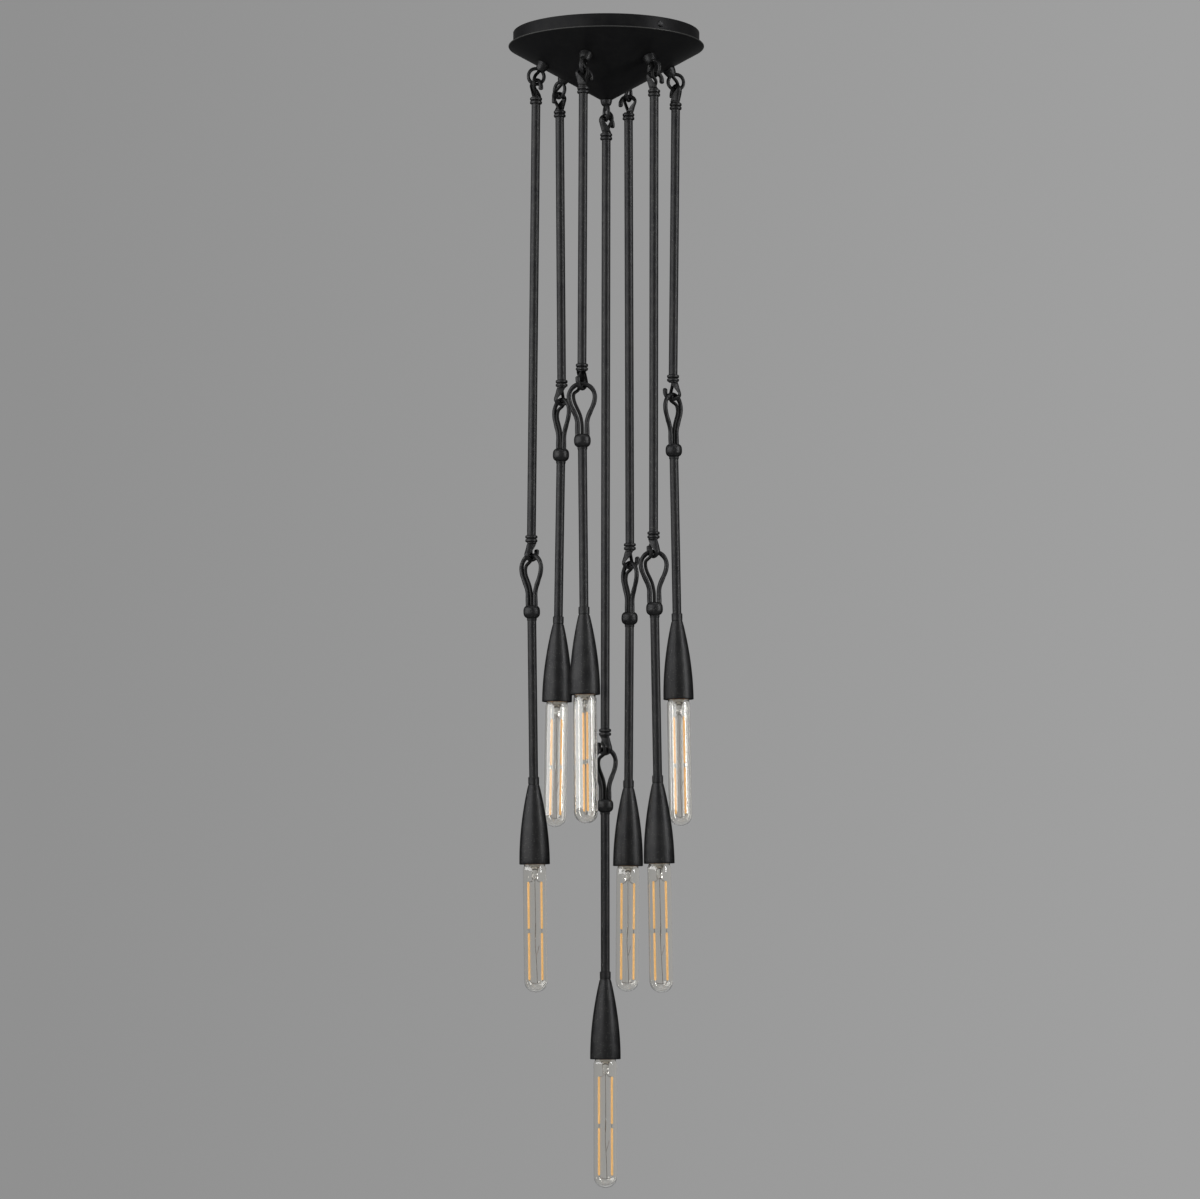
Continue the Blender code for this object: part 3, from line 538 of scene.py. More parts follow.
for number, strand in STRANDS.items():
    sideways = np.cross(compass(strand["outward"]), over(1.0))
    rod_body, drop_body = f"upper_{number}", f"lower_{number}"
    for name, route, bodies, pivot in (
        ("top", upper_route(strand), ("canopy", rod_body), strand["upper"]),
        ("bottom", lower_route(strand), (rod_body, drop_body), strand["lower"]),
    ):
        length = np.linalg.norm(np.diff(route, axis=0), axis=1).sum()
        path = through(route, int(length / CORD_STEP))
        skins = [skin(swept(path, CORD_DIAMETER / 2, CORD_SIDES, sideways))]
        cord = f"supply_cord_{name}_{number}"
        cord = piece(cord, skins, JACKET, f"supply_cord_{number}")
        up = strand["rod"] @ over(BLEND_REACH)
        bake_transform(cord)
        strand["cord_length"] = strand.get("cord_length", 0.0) + length
print("cord lengths in metres:", [round(strand["cord_length"], 2) for strand in STRANDS.values()])

# %% [markdown]
# The canopy is one spun sheet: a straight drum against the ceiling and a wide cone whose thin rim
# stands out past it, which leaves a sharp groove between the two. It is a closed outline turned
# round the axis, down the drum, out to the rim, in to the tip and back inside.

# %% Canopy
DRUM_RADIUS = 0.119
DRUM_HEIGHT = 0.018
SHEET = 0.0015
EDGE = 0.00045
TIP_HOLE = 0.0051
CONE_START = 0.007
RIM_HIGHLIGHT_GREY = "#3c3c3b"
CANOPY_SIDES = 224
TIP_HEIGHT = -DRUM_HEIGHT - RIM_RADIUS * np.tan(CANOPY_SLOPE)
SHEET_RISE = SHEET / np.cos(CANOPY_SLOPE)


def cone(radius, rise=0.0):
    """A point of the cone at a radius: its height grows with the slope, and with a rise above it."""
    return radius, TIP_HEIGHT + radius * np.tan(CANOPY_SLOPE) + rise


def arc(centre, radius, start, end, count):
    """Points round a centre from one angle to another, in degrees from outwards towards up."""
    angle = np.radians(np.linspace(start, end, count))
    return stacked(centre[0] + radius * np.cos(angle), centre[1] + radius * np.sin(angle))


def canopy_outline():
    """The closed section of the sheet, as (radius, height), from the drum's top round and back."""
    slope = np.degrees(CANOPY_SLOPE)
    rim_middle = cone(RIM_RADIUS - SHEET / 2, SHEET_RISE / 2)
    drum_top = arc((DRUM_RADIUS - EDGE, -EDGE), EDGE, 90, 0, 5)
    upper_cone = [cone(DRUM_RADIUS, SHEET_RISE + EDGE), cone(DRUM_RADIUS + EDGE, SHEET_RISE)]
    rim = arc(rim_middle, SHEET / 2, 90 + slope, -90 + slope, 9)
    under = [cone(radius) for radius in np.linspace(RIM_RADIUS - SHEET, CONE_START, 8)]
    tip = [cone(TIP_HOLE + EDGE), cone(TIP_HOLE, EDGE), cone(TIP_HOLE, SHEET_RISE)]
    inside = [cone(DRUM_RADIUS - SHEET - EDGE, SHEET_RISE), cone(DRUM_RADIUS - SHEET, SHEET_RISE + EDGE)]
    return np.concatenate([drum_top, upper_cone, rim, under, tip, inside, [(DRUM_RADIUS - SHEET, 0.0)]])


def paint_rim_highlight(material, radius, thin):
    """A painted highlight on the rim's thin edge: lighter colour past a radius, where the share is
    (length of (x, y) - radius) / thin.
    """
    tree = material.node_tree
    shader = tree.nodes["Principled BSDF"]
    place = add(tree, "TexCoord").outputs["Object"]
    level = add(tree, "Mapping", {"Vector": place, "Scale": (1.0, 1.0, 0.0)}).outputs["Vector"]
    out = add(tree, "VectorMath", {0: level}, operation="LENGTH").outputs["Value"]
    share = remap(tree, out, radius, radius + thin)
    coat = shader.inputs["Base Color"].links[0].from_socket
    edge = add(tree, "Mix", {0: share, 6: coat, 7: linear(RIM_HIGHLIGHT_GREY)}, data_type="RGBA").outputs[2]
    tree.links.new(edge, shader.inputs["Base Color"])


# The rim's thin edge gets a painted highlight: its colour turns lighter past the middle of the rim.
paint_rim_highlight(SPUN_COAT, RIM_RADIUS - SHEET / 2, SHEET / 4)
sheet = skin(turned(canopy_outline(), CANOPY_SIDES), loop=True)
canopy = piece("canopy", [sheet], SPUN_COAT, "canopy_shell", "canopy")
print("canopy faces:", len(canopy.data.polygons))

# %% [markdown]
# Two small screws hold the drum to the ears of the bar behind it. A blackened round head with a
# slot is a dome whose middle is pressed in along one line. The bar itself is plain zinc plated
# steel, whose crystals show as faint grey patches.

# %% Screws and bar
SCREW_HEAD_RADIUS = 0.0040
SCREW_HEAD_HEIGHT = 0.0024
SCREW_SHANK = 0.0019
SCREW_SEAT = DRUM_RADIUS + HAIR_GAP
SCREW_END = 0.1120
SLOT_WIDTH = 0.0011
SLOT_DEPTH = 0.0009
STEEL_BLACK = "#202021"
STEEL_WORN = "#4a4a4b"
ZINC_GREY = "#9fa1a3"
ZINC_PALE = "#bcbec0"


def patchy_metal(name, first, second, size, metallic, roughness):
    """Metal whose plating shows patches of a size, a little rougher in the pale ones."""
    made, tree, shader = finish(name, Metallic=metallic)
    patches = noise(tree, 1 / size, 5.0, Roughness=0.65)
    paint(shader, tree, patches, (0.35, first), (0.68, second))
    rough = remap(tree, patches, 0.0, 1.0, roughness, roughness + 0.2)
    tree.links.new(rough, shader.inputs["Roughness"])
    emboss(shader, tree, patches, 0.15, 0.0001)
    return made


BLACKENED_STEEL = patchy_metal("blackened_screw_steel", STEEL_BLACK, STEEL_WORN, 0.002, 0.8, 0.32)
ZINC_PLATE = patchy_metal("zinc_plated_steel", ZINC_GREY, ZINC_PALE, 0.004, 1.0, 0.30)


def screw_points():
    """A domed head over a shank, along +X, its dome pressed in where |y| is under half the slot."""
    turn = np.linspace(0, np.pi / 2, 14)
    head = stacked(SCREW_HEAD_RADIUS * np.sin(turn), SCREW_SEAT + SCREW_HEAD_HEIGHT * np.cos(turn))
    shank = [(SCREW_HEAD_RADIUS, SCREW_SEAT), (SCREW_SHANK, SCREW_SEAT)]
    shank += [(SCREW_SHANK, SCREW_END), (0.0, SCREW_END)]
    points = turned(np.concatenate([head, shank]), 48)
    pressed = (np.abs(points[..., 1]) < SLOT_WIDTH / 2) & (points[..., 2] > SCREW_SEAT + SLOT_DEPTH)
    points[..., 2] -= np.where(pressed, SLOT_DEPTH, 0.0)
    return points[..., [2, 1, 0]] * np.array([1.0, 1.0, -1.0])


for number, heading in ((1, BAR_COMPASS), (2, BAR_COMPASS + 180.0)):
    points = screw_points() @ turn_about_z(heading).T - over(DRUM_HEIGHT / 2)
    name, node = f"side_screw_{number}", f"canopy_screw_{number}"
    piece(name, [skin(points)], BLACKENED_STEEL, node, "canopy")
bar = frame["nodes"]["mounting_bar"]
bar.data.materials.clear()
bar.data.materials.append(ZINC_PLATE)

# %% [markdown]
# An eye is a forged ring welded into a rounded boss. Its shank goes up through the cone, and a
# hexagon nut holds it from inside. The whole is bored for the cord. The ring's section is a little
# uneven, as a hammer leaves it. Every boss flares to a lip that sits on the cone, and the middle
# one's lip follows the slope up round the tip.

# %% Eyes
BORE_RADIUS = 0.0029
BOSS_RADIUS = 0.0062
BOSS_ROUND = 0.0017
RING_LIP = 0.0021
CENTRE_LIP = 0.0014
SHANK_RADIUS = 0.0048
RING_SEAT = 0.0187
CENTRE_SEAT = 0.01466
NUT_FLAT = 0.0071
NUT_THICKNESS = 0.0040
SHANK_PAST_NUT = 0.0012
BOSS_TRIM = 0.0004
RING_ROWS = 72
HAMMER_DEPTH = 0.00009


def hammered(u, v):
    """The uneven skin that a hammer leaves: depth (sin(2u + 3v) + 0.6 sin(5v - u)), with u round a
    forging and v along it."""
    return HAMMER_DEPTH * (np.sin(2 * u + 3 * v) + 0.6 * np.sin(5 * v - u))


def ring_points():
    """A torus about local Y: ((R + r cos v) cos u, r sin v, (R + r cos v) sin u), r hammered."""
    u = np.linspace(0, 2 * np.pi, RING_ROWS, endpoint=False)[:, None]
    v = np.linspace(0, 2 * np.pi, 24, endpoint=False)[None]
    wire = EYE_WIRE_RADIUS + hammered(v, u)
    out = EYE_RADIUS + wire * np.cos(v)
    return stacked(out * np.cos(u), wire * np.sin(v), out * np.sin(u))


def boss_outline(seat, top, lip, rise):
    """Down the shank, out to a lip that follows the cone, round the lump and back up the bore."""
    share = np.linspace(0, 1, 17)
    rounded = BOSS_RADIUS - BOSS_ROUND * share**4 + lip * (1 - share)
    high, low = seat + rise, BOSS_END - BOSS_TRIM
    lump = stacked(rounded, high + (low - high) * share)
    shank, bore = [(SHANK_RADIUS, top), (SHANK_RADIUS, seat)], [(BORE_RADIUS, low), (BORE_RADIUS, top)]
    return np.concatenate([shank, lump, bore])


def nut_points(seat):
    """A hexagon nut: its radius at u is flat / cos(u mod 60 degrees - 30), cut by a round chamfer."""
    u = 2 * np.pi * np.arange(96) / 96
    edge = NUT_FLAT / np.cos(np.mod(u, np.pi / 3) - np.pi / 6)
    chamfer = np.array([1.02, 1.10, 1.16, 1.16, 1.10, 1.02])[:, None] * NUT_FLAT
    outside = np.minimum(edge, chamfer)
    heights = seat + NUT_THICKNESS * np.array([0.0, 0.10, 0.22, 0.78, 0.90, 1.0])[::-1]
    radius = np.concatenate([np.full((1, 96), SHANK_RADIUS), outside, np.full((1, 96), SHANK_RADIUS)])
    height = np.concatenate([heights[:1], heights, heights[-1:]])[:, None]
    return stacked(radius * np.cos(u), radius * np.sin(u), height)


def placed(points, strand, axes, origin, loop=False):
    """A skin of points, turned and moved with the strand's eye, rod or drop."""
    return skin(points @ strand[axes].T + strand[origin], loop)


for number, strand in STRANDS.items():
    seat, lip, rise = RING_SEAT, RING_LIP, 0.0
    if number == CENTRE:
        seat, lip, rise = CENTRE_SEAT, CENTRE_LIP, CENTRE_LIP * np.tan(CANOPY_SLOPE)
    boss = turned(boss_outline(seat, strand["nut_top"] + SHANK_PAST_NUT, lip, rise), 64)
    forms = (ring_points(), boss, nut_points(strand["nut_top"] - NUT_THICKNESS))
    ring, boss, nut = (placed(form, strand, "eye", "eye_origin", loop=True) for form in forms)
    node = f"canopy_eye_{number}"
    piece(f"eye_{number}", [ring, boss], FORGED_COAT, node, "canopy")
    piece(f"eye_nut_{number}", [nut], ZINC_PLATE, node, "canopy")

# %% [markdown]
# A rod is a tube with two ribs turned at each end. The forged hook starts as a spout: the tube's
# end, slit and cut off at a slant as a quill is, so that it wraps the mouth on one side. It leans
# out, draws in to a point and rounds into wire, bends over in a bow and ends in a blunt, flared
# tip. A few sections are set along it, and the surface is a loft through them.

# %% Rods
TUBE_RADIUS = 0.0056
TUBE_BORE = 0.0040
COLLAR_STEP = 0.0021
COLLAR_HEIGHT = 0.0100
RIB_SHARES = (0.30, 0.765)
RIB_HALF_SHARE = 0.215
ROD_SIDES = 48


def collar():
    """Ribs from the mouth on: each swell is 1 - |d / half its width| ** 5, with grooves between."""
    share = np.linspace(0, 1, 71)
    away = np.abs(share - np.array(RIB_SHARES)[:, None]) / RIB_HALF_SHARE
    rib = np.maximum(1 - away**5, 0).sum(axis=0)
    return stacked(TUBE_RADIUS + COLLAR_STEP * rib, share * COLLAR_HEIGHT)


def rod_outline(top, bottom):
    """Down a collar, the tube and the other collar, then back up the bore."""
    out, along = collar().T
    down, up = stacked(out, top - along), stacked(out, bottom + along)[::-1]
    between = np.linspace(top - COLLAR_HEIGHT, bottom + COLLAR_HEIGHT, 40)[1:-1]
    straight = stacked(TUBE_RADIUS, between)
    return np.concatenate([down, straight, up, [(TUBE_BORE, bottom), (TUBE_BORE, top)]])


# %% Hooks
HOOK_WIRE = 0.0053
HOOK_BOW_RADIUS = 0.0102
HOOK_ROOT_DEPTH = 0.0030
SPOUT = [
    (-0.0049, -0.0030, 0.0, 0.0011, 0.0053, 0.0086),
    (-0.0051, 0.0002, 4.0, 0.0011, 0.0056, 0.0086),
    (-0.0061, 0.0024, 11.0, 0.0011, 0.0064, 0.0085),
    (-0.0069, 0.0055, 13.0, 0.0011, 0.0066, 0.0077),
    (-0.0077, 0.0085, 13.0, 0.0012, 0.0064, 0.0061),
    (-0.0085, 0.0115, 14.0, 0.0013, 0.0058, 0.0043),
    (-0.0090, 0.0140, 18.0, 0.0016, 0.0050, 0.0025),
    (-0.0088, 0.0163, 31.0, 0.0021, 0.0040, 0.0011),
]
HOOK_ROWS = 110
HOOK_SIDES = 40


def hook_keys():
    """Sections along the hook: x, z, tilt, half thickness, half width and gutter depth."""
    centre = HOOK_RISE - HOOK_BOW_RADIUS
    wire = HOOK_WIRE / 2
    angles = np.array([134.0, 118.0, 104.0, 90.0, 65.0, 40.0, 15.0, -10.0])
    flare = wire * np.array([0.95, 1.0, 1.0, 1.0, 1.0, 1.0, 1.05, 1.16])
    wide = flare * np.array([1.16, 1.02, 1.0, 1.0, 1.0, 1.0, 1.0, 1.0])
    x = HOOK_BOW_RADIUS * np.cos(np.radians(angles))
    z = centre + HOOK_BOW_RADIUS * np.sin(np.radians(angles))
    return np.concatenate([SPOUT, stacked(x, z, 180 - angles, flare, wide, 0.0)])


def hook_points():
    """A loft along smooth curves through the sections. At each, with c and s the cosine and sine of
    u, a point is out by thickness c - gutter s2 and across by width s; the tip closes as a dome."""
    x, z, tilt, *rest = hook_keys().T
    rows = through(stacked(x, 0.0, z, np.radians(tilt), *rest), HOOK_ROWS)
    x, _, z, tilt, thick, wide, gutter = rows.T
    dome = np.linspace(0, np.pi / 2, 8)[1:]
    end = rows[-1]
    reach = HOOK_WIRE * 0.42 * np.sin(dome)
    x = np.concatenate([x, end[0] + reach * np.sin(end[3])])
    z = np.concatenate([z, end[2] + reach * np.cos(end[3])])
    shrink = np.concatenate([np.ones(HOOK_ROWS), np.cos(dome)])
    tilt, thick, wide, gutter = (np.concatenate([v, np.full(7, v[-1])]) for v in (tilt, thick, wide, gutter))
    rows = (x, z, shrink, tilt, thick, wide, gutter, np.linspace(0, 9, len(x)))
    x, z, shrink, tilt, thick, wide, gutter, beat = (row[:, None] for row in rows)
    u = 2 * np.pi * np.arange(HOOK_SIDES) / HOOK_SIDES
    out = shrink * (thick * np.cos(u) - gutter * np.sin(u) ** 2) + hammered(u, beat) * shrink
    return stacked(x - np.cos(tilt) * out, shrink * wide * np.sin(u), z + np.sin(tilt) * out)


for number, strand in STRANDS.items():
    top, bottom = -HOOK_RISE, HOOK_RISE - strand["length"]
    turn, under_turn = (turn_about_z(tip) for tip in strand["tips"])
    tube = turned(rod_outline(top, bottom), ROD_SIDES)
    over_mouth = hook_points() @ turn.T + over(top)
    under_mouth = hook_points() @ (under_turn @ np.diag([1.0, -1.0, -1.0])).T + over(bottom)
    for name, points in (("rod", tube), ("top_hook", over_mouth), ("bottom_hook", under_mouth)):
        form = placed(points, strand, "rod", "upper", loop=name == "rod")
        node, body = f"upper_rod_{number}", f"upper_{number}"
        piece(f"{name}_{number}", [form], FORGED_COAT, node, body)

# %% [markdown]
# The loop is one round bar bent into a teardrop. Both ends sink into the knob below it, close
# together, so that they nearly hold the cord. The knob is a barrel with flattish ends, and a
# shallow ring under it meets the drop's tube.

# %% Loops and knobs
LOOP_WIRE = 0.0056
LOOP_BOW_RADIUS = 0.0162
LOOP_SEAT = 0.00575
LOOP_LEG = 0.0059
LEG_STRAIGHT = 0.012
LEG_ROOT = 0.0045
LEG_STOUT = 0.0003
KNOB_RADIUS = 0.0105
KNOB_HEIGHT = 0.0176
KNOB_NECK_RADIUS = 0.0062
KNOB_NECK_HEIGHT = 0.0024
WIDEST = LOOP_SEAT - LOOP_BOW_RADIUS


def loop_points():
    """A bar swept along a teardrop in the XZ plane: a half circle of radius R on top, then legs
    whose distance from the axis falls from R to the leg's by half a cosine wave."""
    drop = np.linspace(0, 1, 40)[1:]
    narrow = KNOB_TOP + LEG_STRAIGHT
    out = LOOP_LEG + (LOOP_BOW_RADIUS - LOOP_LEG) * (1 + np.cos(np.pi * drop)) / 2
    leg = stacked(out, 0.0, WIDEST + (narrow - WIDEST) * drop)
    down = np.linspace(narrow, KNOB_TOP - LEG_ROOT, 10)[1:]
    foot = stacked(LOOP_LEG, 0.0, down)
    turn = np.linspace(0, np.pi, 49)
    bow = LOOP_BOW_RADIUS * stacked(np.cos(turn), 0.0, np.sin(turn)) + over(WIDEST)
    right = np.concatenate([leg, foot])[::-1]
    path = np.concatenate([right, bow, (right * np.array([-1.0, 1.0, 1.0]))[::-1]])
    stout = LEG_STOUT * np.clip((WIDEST - path[:, 2]) / (WIDEST - KNOB_TOP), 0, 1)
    radius = LOOP_WIRE / 2 + stout + hammered(0.0, np.linspace(0, 16, len(path)))
    return swept(path, radius, 32, np.array([0.0, 1.0, 0.0]))


def knob_outline():
    """A barrel: radius R cos(a)^0.72 and height H/2 sin(a)^0.72 with flat ends, then a neck ring."""
    angle = np.radians(np.linspace(62, -62, 33))
    out = KNOB_RADIUS * np.cos(angle) ** 0.72
    rise = KNOB_TOP - KNOB_HEIGHT / 2 + KNOB_HEIGHT / 2 * np.sign(angle) * np.abs(np.sin(angle)) ** 0.72
    low = KNOB_TOP - KNOB_HEIGHT - KNOB_NECK_HEIGHT
    neck = [(KNOB_NECK_RADIUS + 0.0003, rise[-1]), (KNOB_NECK_RADIUS, rise[-1] - 0.0004)]
    neck += [(KNOB_NECK_RADIUS, low + 0.0005), (KNOB_NECK_RADIUS - 0.0004, low)]
    bore = [(BORE_RADIUS, low), (BORE_RADIUS, rise[0])]
    return np.concatenate([bore[1:], stacked(out, rise), neck, bore[:1]])


for number, strand in STRANDS.items():
    loop = loop_points() @ turn_about_z(strand["loop"]).T
    for name, points in (("loop", loop), ("knob", turned(knob_outline(), 64))):
        form = placed(points, strand, "drop", "lower", loop=name == "knob")
        node, body = f"link_loop_{number}", f"lower_{number}"
        piece(f"{name}_{number}", [form], FORGED_COAT, node, body)

# %% [markdown]
# The drop's tube ends in a socket cup, a spun and cast bullet shape. It leaves the neck steeply and
# turns nearly straight at the mouth, which a quarter of a sine wave gives. A plain ring, with a
# thin dark seam under it, covers where the tube goes in.

# %% Drop tubes and cups
CUP_TOP = -0.28375
CUP_HEIGHT = 0.099
CUP_RADIUS = 0.0192
CUP_WALL = 0.0015
CUP_NECK_RADIUS = 0.0069
CUP_NECK_HEIGHT = 0.0097
CUP_SWELL = 0.9
SEAM = 0.0004
EASE = 0.0003
TUBE_HOLE = 0.0052
KNOB_BOTTOM = KNOB_TOP - KNOB_HEIGHT
CUP_SIDES = 72


def cup_radius(share):
    """Neck + (mouth - neck) sin(pi/2 share^0.9), with share 0 at the shoulder and 1 at the mouth."""
    return CUP_NECK_RADIUS + (CUP_RADIUS - CUP_NECK_RADIUS) * np.sin(np.pi / 2 * share**CUP_SWELL)


def cup_outline():
    """Down the outside, round the lip and back up the inside, to the tube's hole."""
    share = np.linspace(0.004, 1, 40)
    outside = stacked(cup_radius(share), CUP_TOP - share * CUP_HEIGHT)
    lip = arc((CUP_RADIUS - CUP_WALL / 2, CUP_TOP - CUP_HEIGHT), CUP_WALL / 2, 0, -180, 7)[1:-1]
    back = share[:2:-1]
    inside = stacked(cup_radius(back) - CUP_WALL, CUP_TOP - back * CUP_HEIGHT)
    return np.concatenate([[(TUBE_HOLE, CUP_TOP)], outside, lip, inside, [(TUBE_HOLE, inside[-1][1])]])


def neck_outline():
    """A plain ring with eased edges, seated on the cup past a thin seam."""
    low, high = CUP_TOP + SEAM, CUP_TOP + CUP_NECK_HEIGHT
    ease = 0.0005
    return [
        (TUBE_RADIUS - EASE, high),
        (CUP_NECK_RADIUS - ease, high),
        (CUP_NECK_RADIUS, high - ease),
        (CUP_NECK_RADIUS, low + ease),
        (CUP_NECK_RADIUS - ease, low),
        (CUP_NECK_RADIUS - ease, CUP_TOP - ease),
        (TUBE_RADIUS - EASE, CUP_TOP - ease),
    ]


def tube_outline():
    """The drop's tube from under the knob into the cup, bored for the cord."""
    top, low = KNOB_BOTTOM - KNOB_NECK_HEIGHT / 2, CUP_TOP + CUP_NECK_HEIGHT / 2
    outside = stacked(TUBE_RADIUS, np.linspace(top - EASE, low, 24))
    nipple = [(TUBE_RADIUS - 0.0009, low), (TUBE_RADIUS - 0.0009, POCKET_FLOOR + HAIR_GAP)]
    bore = [(BORE_RADIUS, nipple[-1][1]), (BORE_RADIUS, top)]
    return np.concatenate([[(TUBE_RADIUS - EASE, top)], outside, nipple, bore])


for number, strand in STRANDS.items():
    for name, outline, sides, node in (
        ("drop_tube", tube_outline(), ROD_SIDES, "lower_tube"),
        ("cup", cup_outline(), CUP_SIDES, "socket_cup"),
        ("cup_neck", neck_outline(), ROD_SIDES, "socket_cup"),
    ):
        form = placed(turned(outline, sides), strand, "drop", "lower", loop=True)
        node, body = f"{node}_{number}", f"lower_{number}"
        piece(f"{name}_{number}", [form], FORGED_COAT, node, body)

# %% [markdown]
# A glazed porcelain lampholder sits inside each cup. Fired porcelain is white with a trace of cream,
# and its glaze is smooth and clear. The lamp's cap screws into it: thin brass with a rolled thread,
# which shows only as a warm line at the cup's mouth.

# %% Lampholders
CUP_MOUTH = CUP_TOP - CUP_HEIGHT
HOLDER_RADIUS = 0.0151
HOLDER_BORE = 0.0137
HOLDER_SHOULDER = 0.004
HOLDER_INSET = 0.0015
CAP_LENGTH = 0.0245
HOLDER_TOP = POCKET_FLOOR + 0.004
PORCELAIN_WHITE = "#e9e4d8"
PORCELAIN_CREAM = "#dcd3c0"


def glazed_porcelain():
    """White porcelain under a clear glaze, with cream clouds a few millimetres wide."""
    made, tree, shader = finish(
        "glazed_porcelain", IOR=1.5, Roughness=0.18, Coat_Weight=0.5, Coat_Roughness=0.08
    )
    clouds = noise(tree, 220.0, 3.0)
    paint(shader, tree, clouds, (0.3, PORCELAIN_CREAM), (0.65, PORCELAIN_WHITE))
    emboss(shader, tree, clouds, 0.08, 0.0002)
    return made


PORCELAIN = glazed_porcelain()


def holder_outline():
    """Round the pocket, over the shoulder, down the side and up the socket that takes the cap."""
    low = CUP_MOUTH + HOLDER_INSET
    seat = CUP_MOUTH + CAP_LENGTH + HAIR_GAP
    middle = (HOLDER_RADIUS - HOLDER_SHOULDER, HOLDER_TOP - HOLDER_SHOULDER)
    shoulder = arc(middle, HOLDER_SHOULDER, 90, 0, 9)
    inside = [(HOLDER_RADIUS, low + EASE), (HOLDER_RADIUS - EASE, low)]
    inside += [(HOLDER_BORE, low), (HOLDER_BORE, seat)]
    pocket = [(0.0, POCKET_FLOOR), (0.0050, POCKET_FLOOR), (0.0050, HOLDER_TOP)]
    return np.concatenate([pocket, shoulder, inside, [(0.0, seat)]])


for number, strand in STRANDS.items():
    form = placed(turned(holder_outline(), 64), strand, "drop", "lower")
    name, node, body = f"porcelain_holder_{number}", f"lampholder_{number}", f"lower_{number}"
    piece(name, [form], PORCELAIN, node, body)

# %% [markdown]
# The lamp is a long clear tube of soda glass with a round end. Thin glass shows by its edges, which
# bend the light away and go dark, and by the lamps mirrored down its length. So the tube is a real
# wall with an outside and an inside. Its cap is rolled brass: the radius follows a sine wave that
# climbs one pitch a turn.

# %% Lamp glass and cap
GLASS_RADIUS = 0.0150
GLASS_WALL = 0.0008
GLASS_LENGTH = 0.1606
GLASS_SHOULDER = 0.0060
END_THICKER = 1.6
CAP_RADIUS = 0.0131
CAP_PITCH = 0.0036
THREAD_DEPTH = 0.0005
CAP_SHOW = 0.0009
CONTACT_RADIUS = 0.0045
CEMENT_RADIUS = 0.0122
BRASS = "#b07a3c"
BRASS_DARK = "#7c4f22"
CLEAR = "#fefdfa"
BLACK_GLASS = "#17131a"

BRASS_CAP = patchy_metal("rolled_brass_cap", BRASS_DARK, BRASS, 0.006, 1.0, 0.24)
CONTACT_METAL = patchy_metal("solder_and_black_glass_contact", BLACK_GLASS, STEEL_WORN, 0.003, 0.6, 0.30)


def soda_glass(name, roughness):
    """Clear drawn glass: full transmission, and faint waves along the tube from the drawing."""
    made, tree, shader = finish(
        name, Base_Color=linear(CLEAR), Transmission_Weight=1.0, IOR=1.45, Roughness=roughness
    )
    waves = noise(tree, 160.0, 1.0, lengthwise=0.08)
    emboss(shader, tree, waves, 0.004, 0.0001)
    return made


LAMP_GLASS = soda_glass("clear_soda_glass_tube", 0.0)
STEM_GLASS = soda_glass("clear_glass_stem", 0.03)


def glass_outline():
    """The outside from the cap down, over the round end to the axis, and back up the inside."""
    share = np.linspace(0, 1, 14)
    ease = (1 - np.cos(np.pi * share)) / 2
    shoulder_top = CUP_MOUTH - CAP_SHOW + 0.002
    shoulder_drop = GLASS_SHOULDER + 0.002
    neck = CAP_RADIUS - 0.0006
    shoulder = stacked(neck + (GLASS_RADIUS - neck) * ease, shoulder_top - shoulder_drop * share)
    equator = CUP_MOUTH - GLASS_LENGTH + GLASS_RADIUS
    wall = stacked(GLASS_RADIUS, np.linspace(shoulder[-1][1], equator, 24)[1:-1])
    turn = np.radians(np.linspace(0, 90, 25))
    end = stacked(GLASS_RADIUS * np.cos(turn) ** 0.92, equator - GLASS_RADIUS * np.sin(turn))
    end[-1, 0] = 0.0
    outside = np.concatenate([shoulder, wall, end])
    thin = GLASS_WALL / GLASS_RADIUS
    inner_rise = equator - (equator - end[:, 1]) * (1 - END_THICKER * thin)
    inner_end = stacked(end[:, 0] * (1 - thin), inner_rise)
    inner_wall = np.concatenate([shoulder, wall]) - np.array([GLASS_WALL, 0.0])
    return np.concatenate([outside, inner_end[::-1], inner_wall[::-1]])


def cap_points():
    """Radius R + d (sin(2 pi h / pitch - u) - 1) / 2 down the cap, where d fades to nothing at both
    ends, and a cone on top."""
    u = 2 * np.pi * np.arange(72) / 72
    height = np.linspace(0, 1, 90)[:, None]
    low, top = CUP_MOUTH - CAP_SHOW, CUP_MOUTH + CAP_LENGTH
    z = top - 0.006 + (low - top + 0.006) * height
    fade = np.clip(height * 8, 0, 1) * np.clip((0.80 - height) * 10, 0, 1)
    wave = THREAD_DEPTH * fade * (np.sin(2 * np.pi * z / CAP_PITCH - u) - 1) / 2
    out = CAP_RADIUS + wave
    shell = stacked(out * np.cos(u), out * np.sin(u), z)
    crown = [(0.0, top - 0.001), (CONTACT_RADIUS, top - 0.001), (CAP_RADIUS * 0.85, top - 0.003)]
    crown = turned(crown, 72)
    foot = turned([(CAP_RADIUS - 0.0004, low - 0.0002), (0.0, low - 0.0002)], 72)
    return np.concatenate([crown, shell, foot])


def cement_points():
    """The pale cement that fills the cap round the neck: a flat disc, a little domed downwards."""
    low = CUP_MOUTH - CAP_SHOW - 0.0002
    dome = [(0.0, low - 0.0007), (CEMENT_RADIUS * 0.7, low - 0.0005), (CEMENT_RADIUS, low - 0.0001)]
    return turned([(0.0, low + 0.001), (CEMENT_RADIUS, low + 0.001)] + dome[::-1], 48)


def contact_points():
    """The centre contact: a low dome of solder on its ring of black glass."""
    top = CUP_MOUTH + CAP_LENGTH
    dome = arc((0.0, top - 0.0011), 0.0011, 90, 0, 8)
    dome[:, 0] = CONTACT_RADIUS * np.sin(np.linspace(0, np.pi / 2, 8))
    return turned(np.concatenate([dome, [(CONTACT_RADIUS, top - 0.002), (0.0, top - 0.002)]]), 40)


